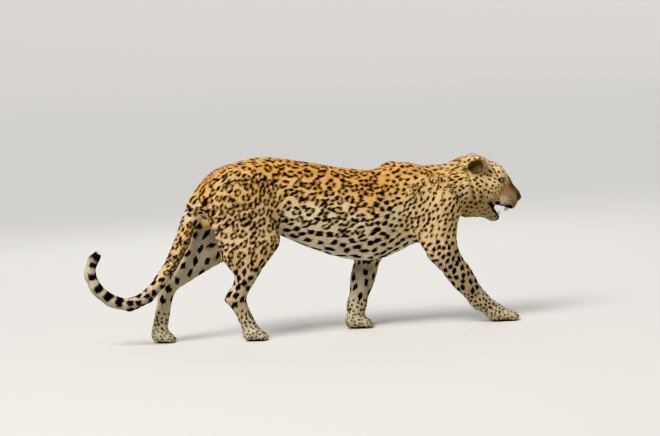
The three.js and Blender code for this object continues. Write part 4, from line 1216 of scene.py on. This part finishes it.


# painted shade: the nostrils and the folds beside the nose's wings are darkened towards black
painted_nostril_shade = np.zeros(len(u))
press = np.zeros(len(u))
for hand in (-1.0, 1.0):
    nostril = dimple((0.80, hand * 0.50, -0.14), 1.25, 0.21)
    wing = dimple((0.52, hand * 0.82, 0.02), 1.9, 0.20)
    slit = dimple((0.30, hand * 0.95, 0.22), 2.0, 0.16)
    lip = dimple((0.72, hand * 0.58, 0.26), 1.4, 0.22)
    press += 0.0075 * nostril + 0.0034 * wing + 0.0016 * slit - 0.0014 * lip
    painted_nostril_shade = np.maximum(painted_nostril_shade, np.clip(1.5 * nostril + 0.7 * wing, 0, 1))
press += 0.0018 * np.exp(-(u[:, 1] / 0.07) ** 2) * stepped(0.45, 0.0, u[:, 2]) * (u[:, 0] > 0)
local -= unit(u * (1, 0.8, 1)) * press[:, None]
put_points(nose_pad, from_head(local @ turned("Y", math.radians(-10)).T + NOSE_AT))
nostril_shade_layer = nose_pad.data.attributes.new("painted_nostril_shade", "FLOAT", "POINT")
nostril_shade_layer.data.foreach_set("value", painted_nostril_shade.astype(np.float32))
leather, web, shader = new_material("nose_leather", 0.36, Coat_Weight=0.25, Coat_Roughness=0.15)
mottle = grain_in(web, "Noise", 160.0, 4.0)
mottled = tones_in(web, mottle.outputs["Fac"], (24, 17, 16), (66, 44, 40), 0.35, 0.75)
nostril_shade_in = attribute_in(web, "painted_nostril_shade")
shaded = mix_in(web, "MIX", nostril_shade_in.outputs["Fac"], mottled, (*linear(8, 6, 6), 1))
web.links.new(shaded, shader.inputs["Base Color"])
pebbles = grain_in(web, "Voronoi", 780.0)
raise_by(web, shader, pebbles.outputs["Distance"], 0.6, 0.0004, invert=True)
nose_pad.data.materials.append(leather)
bpy.ops.object.shade_smooth()
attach(nose_pad, "root")
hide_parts("nose")

# The tongue: one soft muscle lying in the dropped jaw, with a groove along its middle and a rough top of
# small spines. It is cast from the plain tongue solid and takes its place.
tongue_piece = cast_of(["tongue"], 0.0001, 0.0013, "tongue_flesh")
place_in = in_jaw(eased(points_of(tongue_piece), edges_of(tongue_piece), 14, (0.5, -0.50)))
groove = np.exp(-(place_in[:, 1] / 0.0022) ** 2) * (place_in[:, 2] > 0.004)
place_in[:, 2] -= 0.0016 * groove
put_points(tongue_piece, from_jaw(place_in))
tongue_skin, web, shader = new_material("tongue_skin", 0.34, Subsurface_Weight=0.15, Subsurface_Scale=0.004)
spines = grain_in(web, "Voronoi", 620.0)
flesh = tones_in(web, spines.outputs["Distance"], (196, 116, 112), (138, 64, 64))
web.links.new(flesh, shader.inputs["Base Color"])
raise_by(web, shader, spines.outputs["Distance"], 0.7, 0.0006, invert=True)
tongue_piece.data.materials.append(tongue_skin)
take(tongue_piece)
bpy.ops.object.shade_smooth()
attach(tongue_piece, "root")
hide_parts("tongue")

# The teeth: long curved canines, six small incisors between them and cutting teeth behind, rooted in
# the gums of skull and jaw. Only what an open mouth shows is made: the crowns, each sunk into the gum.
# Each is given by place out and across, length, thickness and how far its tip curls back.
UPPER_TEETH = [(0.140, 0.0150, 0.0215, 0.0044, 0.004), (0.105, 0.0190, 0.0075, 0.0040, 0.0)]
UPPER_TEETH += [(0.092, 0.0200, 0.0090, 0.0050, 0.0)]
UPPER_TEETH += [(0.149 - 30 * y * y, y, 0.0052, 0.0019, 0.0) for y in (0.0020, 0.0058, 0.0094)]
LOWER_TEETH = [(0.147, 0.0125, 0.0185, 0.0040, 0.004), (0.112, 0.0155, 0.0070, 0.0036, 0.0)]
LOWER_TEETH += [(0.100, 0.0165, 0.0085, 0.0045, 0.0)]
LOWER_TEETH += [(0.155 - 30 * y * y, y, 0.0042, 0.0016, 0.0) for y in (0.0017, 0.0050, 0.0080)]
ivory, web, shader = new_material("ivory", 0.22)
stain = grain_in(web, "Noise", 140.0)
stained = tones_in(web, stain.outputs["Fac"], (206, 184, 134), (236, 226, 198), 0.3, 0.65)
web.links.new(stained, shader.inputs["Base Color"])
GUMS = ((UPPER_TEETH, from_head, -0.052, 1.0), (LOWER_TEETH, from_jaw, 0.022, -1.0))
crowns = []
for row, to_world, seek, sign in GUMS:
    up_way = unit(to_world((0, 0, 1.0)) - to_world((0, 0, 0)))
    for along, off_side, long_crown, thick_crown, curl in row:
        for hand in (-1.0, 1.0):
            start = to_world((along, hand * off_side, seek))
            gum, _, _, gap = skin_tree.ray_cast(Vector(start), Vector(up_way * sign), 0.06)
            if gum is None:
                continue
            let_go()
            bpy.ops.mesh.primitive_uv_sphere_add(segments=14, ring_count=14, radius=1.0)
            crown = bpy.context.object
            p = points_of(crown)
            h = (1 - p[:, 2]) / 2
            girth = thick_crown * np.minimum(1.35 * (1 - h) ** 0.75, 1.0) * np.sqrt(np.clip(h * 14, 0, 1))
            turn_at = np.arctan2(p[:, 1], p[:, 0])
            local = np.stack([np.cos(turn_at) * girth * 1.15 - curl * h ** 2, np.sin(turn_at) * girth * 0.9,
                              -(h * 1.25 - 0.25) * long_crown * sign], 1)
            root_place = (along, hand * off_side, seek + sign * gap)
            put_points(crown, to_world(local + root_place))
            crowns.append(crown)
teeth = joined(crowns, "teeth")
face_outward(teeth)
teeth.data.materials.append(ivory)
bpy.ops.object.shade_smooth()
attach(teeth, "root")

# The whiskers: stiff white hairs in four rows on each whisker pad, a tuft of them over each eye and a few
# on the cheek. Each is a round hair that thins to its tip, rooted in the hide and swept back.
WHISKER_ROWS = [(0.008, 3, 0.118), (0.000, 4, 0.114), (-0.008, 4, 0.111), (-0.016, 3, 0.108)]
PAD_SAG, BROW_SAG, CHEEK_SAG = (0.0, 0.0, -0.20), (0.10, 0.0, -0.10), (0.0, 0.0, -0.1)
hair_dice = np.random.default_rng(211)
hairs = []
for hand in (-1.0, 1.0):
    for rise_at, count, start_out in WHISKER_ROWS:
        for k in range(count):
            spot = (start_out + 0.0085 * k, hand * 0.09, rise_at - 0.003 * k)
            back = -0.62 - 0.10 * k + hair_dice.normal(0, 0.05)
            sweep = (back, hand * 0.95, -0.28 + 0.10 * (rise_at / 0.016))
            hairs.append((spot, (0, -hand, 0), sweep, hair_dice.uniform(0.070, 0.108), 0.00048, PAD_SAG))
    for k in range(4):
        spot = (0.060 + 0.004 * (k % 2), hand * (0.024 + 0.0035 * k), 0.130)
        sweep = (0.55 - 0.30 * k + hair_dice.normal(0, 0.05), hand * (0.10 + 0.10 * k), 0.9)
        hairs.append((spot, (0, 0, -1), sweep, hair_dice.uniform(0.036, 0.052), 0.00042, BROW_SAG))
    for k in range(2):
        spot = (0.030 + 0.006 * k, hand * 0.12, -0.004 - 0.006 * k)
        hairs.append((spot, (0, -hand, 0), (-0.8, hand * 0.8, 0.05), 0.045, 0.00036, CHEEK_SAG))
HAIR_STEPS, HAIR_SIDES = 12, 5
hair_points, hair_faces = [], []
for spot, seek_way, sweep, long_hair, girth, sag in hairs:
    start, seek_world = from_head(spot), np.array(seek_way) @ HEAD_TURN.T
    root, _, _, _ = skin_tree.ray_cast(Vector(start), Vector(seek_world), 0.2)
    if root is None:
        continue
    run = np.linspace(-0.03, 1, HAIR_STEPS)
    bent = run[:, None] * unit(np.array(sweep)) + (run ** 2)[:, None] * np.array(sag)
    spine = from_head(in_head(np.array(root)[None]) + long_hair * bent)
    course_here = unit(np.gradient(spine, axis=0))
    across_way = unit(np.cross(course_here, (0.3, 0.2, 1.0)))
    over_way = np.cross(course_here, across_way)
    base = len(hair_points)
    for i in range(HAIR_STEPS):
        radius = girth * (1 - 0.86 * max(run[i], 0))
        for j in range(HAIR_SIDES):
            a = 2 * math.pi * j / HAIR_SIDES
            hair_points.append(spine[i] + radius * (math.cos(a) * across_way[i] + math.sin(a) * over_way[i]))
    for i in range(HAIR_STEPS - 1):
        for j in range(HAIR_SIDES):
            k = (j + 1) % HAIR_SIDES
            hair_faces.append((base + i * HAIR_SIDES + j, base + i * HAIR_SIDES + k,
                               base + (i + 1) * HAIR_SIDES + k, base + (i + 1) * HAIR_SIDES + j))
    hair_faces.append(tuple(base + j for j in reversed(range(HAIR_SIDES))))
    hair_faces.append(tuple(base + (HAIR_STEPS - 1) * HAIR_SIDES + j for j in range(HAIR_SIDES)))
mesh = bpy.data.meshes.new("whiskers")
mesh.from_pydata([tuple(p) for p in hair_points], [], hair_faces)
whiskers = bpy.data.objects.new("whiskers", mesh)
bpy.context.collection.objects.link(whiskers)
face_outward(whiskers)
bristle, web, shader = new_material("bristle", 0.35)
ripple = grain_in(web, "Noise", 60.0)
rippled = tones_in(web, ripple.outputs["Fac"], (214, 208, 196), (248, 246, 240))
web.links.new(rippled, shader.inputs["Base Color"])
whiskers.data.materials.append(bristle)
bpy.ops.object.shade_smooth()
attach(whiskers, "root")

# The claws: four on each paw, drawn back into the toes so that only their dark curved tips show.
CLAW_LONG, CLAW_THICK = 0.0155, 0.0026
horn, web, shader = new_material("claw_horn", 0.3)
streaks = grain_in(web, "Noise", 240.0)
streaked = tones_in(web, streaks.outputs["Fac"], (70, 58, 46), (170, 152, 122))
web.links.new(streaked, shader.inputs["Base Color"])
claw_pieces = []
for paw in PAWS.values():
    size = paw[3]
    for place in TOES:
        end_x, end_y = toe_tip(paw, place)
        before_toe = Vector((end_x + 0.05, end_y, 0.0165 * size))
        surface, _, _, _ = skin_tree.ray_cast(before_toe, Vector((-1, 0, 0)), 0.08)
        if surface is None:
            continue
        let_go()
        bpy.ops.mesh.primitive_uv_sphere_add(segments=12, ring_count=12, radius=1.0)
        claw = bpy.context.object
        p = points_of(claw)
        h = (1 - p[:, 0]) / 2
        girth = CLAW_THICK * size * np.minimum(1.4 * (1 - h) ** 0.8, 1.0) * np.sqrt(np.clip(h * 12, 0, 1))
        turn_at = np.arctan2(p[:, 2], p[:, 1])
        run = (h - 0.52) * CLAW_LONG * size
        droop = 0.42 * run * h + 0.0022 * h ** 2
        local = np.stack([run, 0.62 * np.cos(turn_at) * girth, 1.25 * np.sin(turn_at) * girth - droop], 1)
        put_points(claw, local + np.array(surface))
        claw_pieces.append(claw)
claws = joined(claw_pieces, "claws")
face_outward(claws)
claws.data.materials.append(horn)
bpy.ops.object.shade_smooth()
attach(claws, "root")

# Floor, light and camera: a plain pale floor that rises far off, a broad soft light from above on the
# near side, a weaker one from the far side, a wide sun, and the photograph's own place to look from.
FLOOR_RADIUS, SWEEP_RADIUS, SWEEP_STEPS, SWEEP_ANGLE = 18.0, 12.0, 10, math.radians(72)
let_go()
bpy.ops.mesh.primitive_circle_add(vertices=128, radius=FLOOR_RADIUS, fill_type="NGON", location=(0, 0, 0))
floor = bpy.context.object
bpy.ops.object.mode_set(mode="EDIT")
bpy.ops.mesh.select_mode(type="EDGE")
bpy.ops.mesh.select_all(action="SELECT")
wide_now, high_now = FLOOR_RADIUS, 0.0
for step in range(1, SWEEP_STEPS + 1):
    lean_back = SWEEP_ANGLE * step / SWEEP_STEPS
    wide_next = FLOOR_RADIUS + SWEEP_RADIUS * math.sin(lean_back)
    high_next = SWEEP_RADIUS * (1 - math.cos(lean_back))
    bpy.ops.mesh.extrude_edges_move(TRANSFORM_OT_translate={"value": (0, 0, high_next - high_now)})
    bpy.ops.transform.resize(value=(wide_next / wide_now, wide_next / wide_now, 1))
    wide_now, high_now = wide_next, high_next
bpy.ops.mesh.select_all(action="SELECT")
bpy.ops.mesh.normals_make_consistent(inside=False)
bpy.ops.object.mode_set(mode="OBJECT")
bpy.ops.object.shade_smooth()
floor.name = "studio_floor"
paper, _, shader = new_material("studio_paper", 0.8)
shader.inputs["Base Color"].default_value = (0.66, 0.65, 0.63, 1)
floor.data.materials.append(paper)

sky = bpy.data.worlds.new("studio_air")
bpy.context.scene.world = sky
sky.use_nodes = True
air = sky.node_tree.nodes["Background"]
air.inputs["Color"].default_value = (0.78, 0.80, 0.83, 1)
air.inputs["Strength"].default_value = 0.55
bpy.context.scene.view_settings.view_transform = "Khronos PBR Neutral"


def soft_light(name, place, aim, size, power, tint):
    lamp = bpy.data.lights.new(name, "AREA")
    lamp.size = size
    lamp.energy = power
    lamp.color = tint
    holder = bpy.data.objects.new(name, lamp)
    bpy.context.collection.objects.link(holder)
    holder.location = place
    holder.rotation_euler = (Vector(aim) - Vector(place)).to_track_quat("-Z", "Y").to_euler()


soft_light("key", (-2.4, -3.2, 4.2), (0, 0, 0.4), 2.4, 170, (1.0, 0.95, 0.88))
soft_light("back", (0.5, 4.0, 3.2), (0, 0, 0.4), 3.0, 45, (1.0, 0.98, 0.95))
day = bpy.data.lights.new("broad_light", "SUN")
day.energy = 2.3
day.angle = math.radians(32)
day.color = (1.0, 0.97, 0.92)
day_holder = bpy.data.objects.new("broad_light", day)
bpy.context.collection.objects.link(day_holder)
day_holder.rotation_euler = Vector((0.52, 0.42, -0.80)).to_track_quat("-Z", "Y").to_euler()

LOOK_AT, DISTANCE, WIDTH_SEEN = Vector((0.1076, 0.0, 0.459)), 12.0, 2.64
azimuth, elevation, roll = math.radians(-12), math.radians(5), math.radians(3)
level = Vector((math.cos(azimuth), math.sin(azimuth), 0.0))
away = Vector((-math.sin(azimuth), math.cos(azimuth), 0.0))
ahead = away * math.cos(elevation) - Vector((0.0, 0.0, math.sin(elevation)))
above = level.cross(ahead)
right = level * math.cos(roll) - above * math.sin(roll)
up = level * math.sin(roll) + above * math.cos(roll)
eye = LOOK_AT - ahead * DISTANCE
lens = bpy.data.cameras.new("camera")
lens.sensor_width = 36.0
lens.lens = lens.sensor_width * DISTANCE / WIDTH_SEEN
lens.clip_end = 200.0
camera = bpy.data.objects.new("camera", lens)
bpy.context.collection.objects.link(camera)
camera.matrix_world = Matrix(((right.x, up.x, -ahead.x, eye.x), (right.y, up.y, -ahead.y, eye.y),
                              (right.z, up.z, -ahead.z, eye.z), (0, 0, 0, 1)))
bpy.context.scene.camera = camera
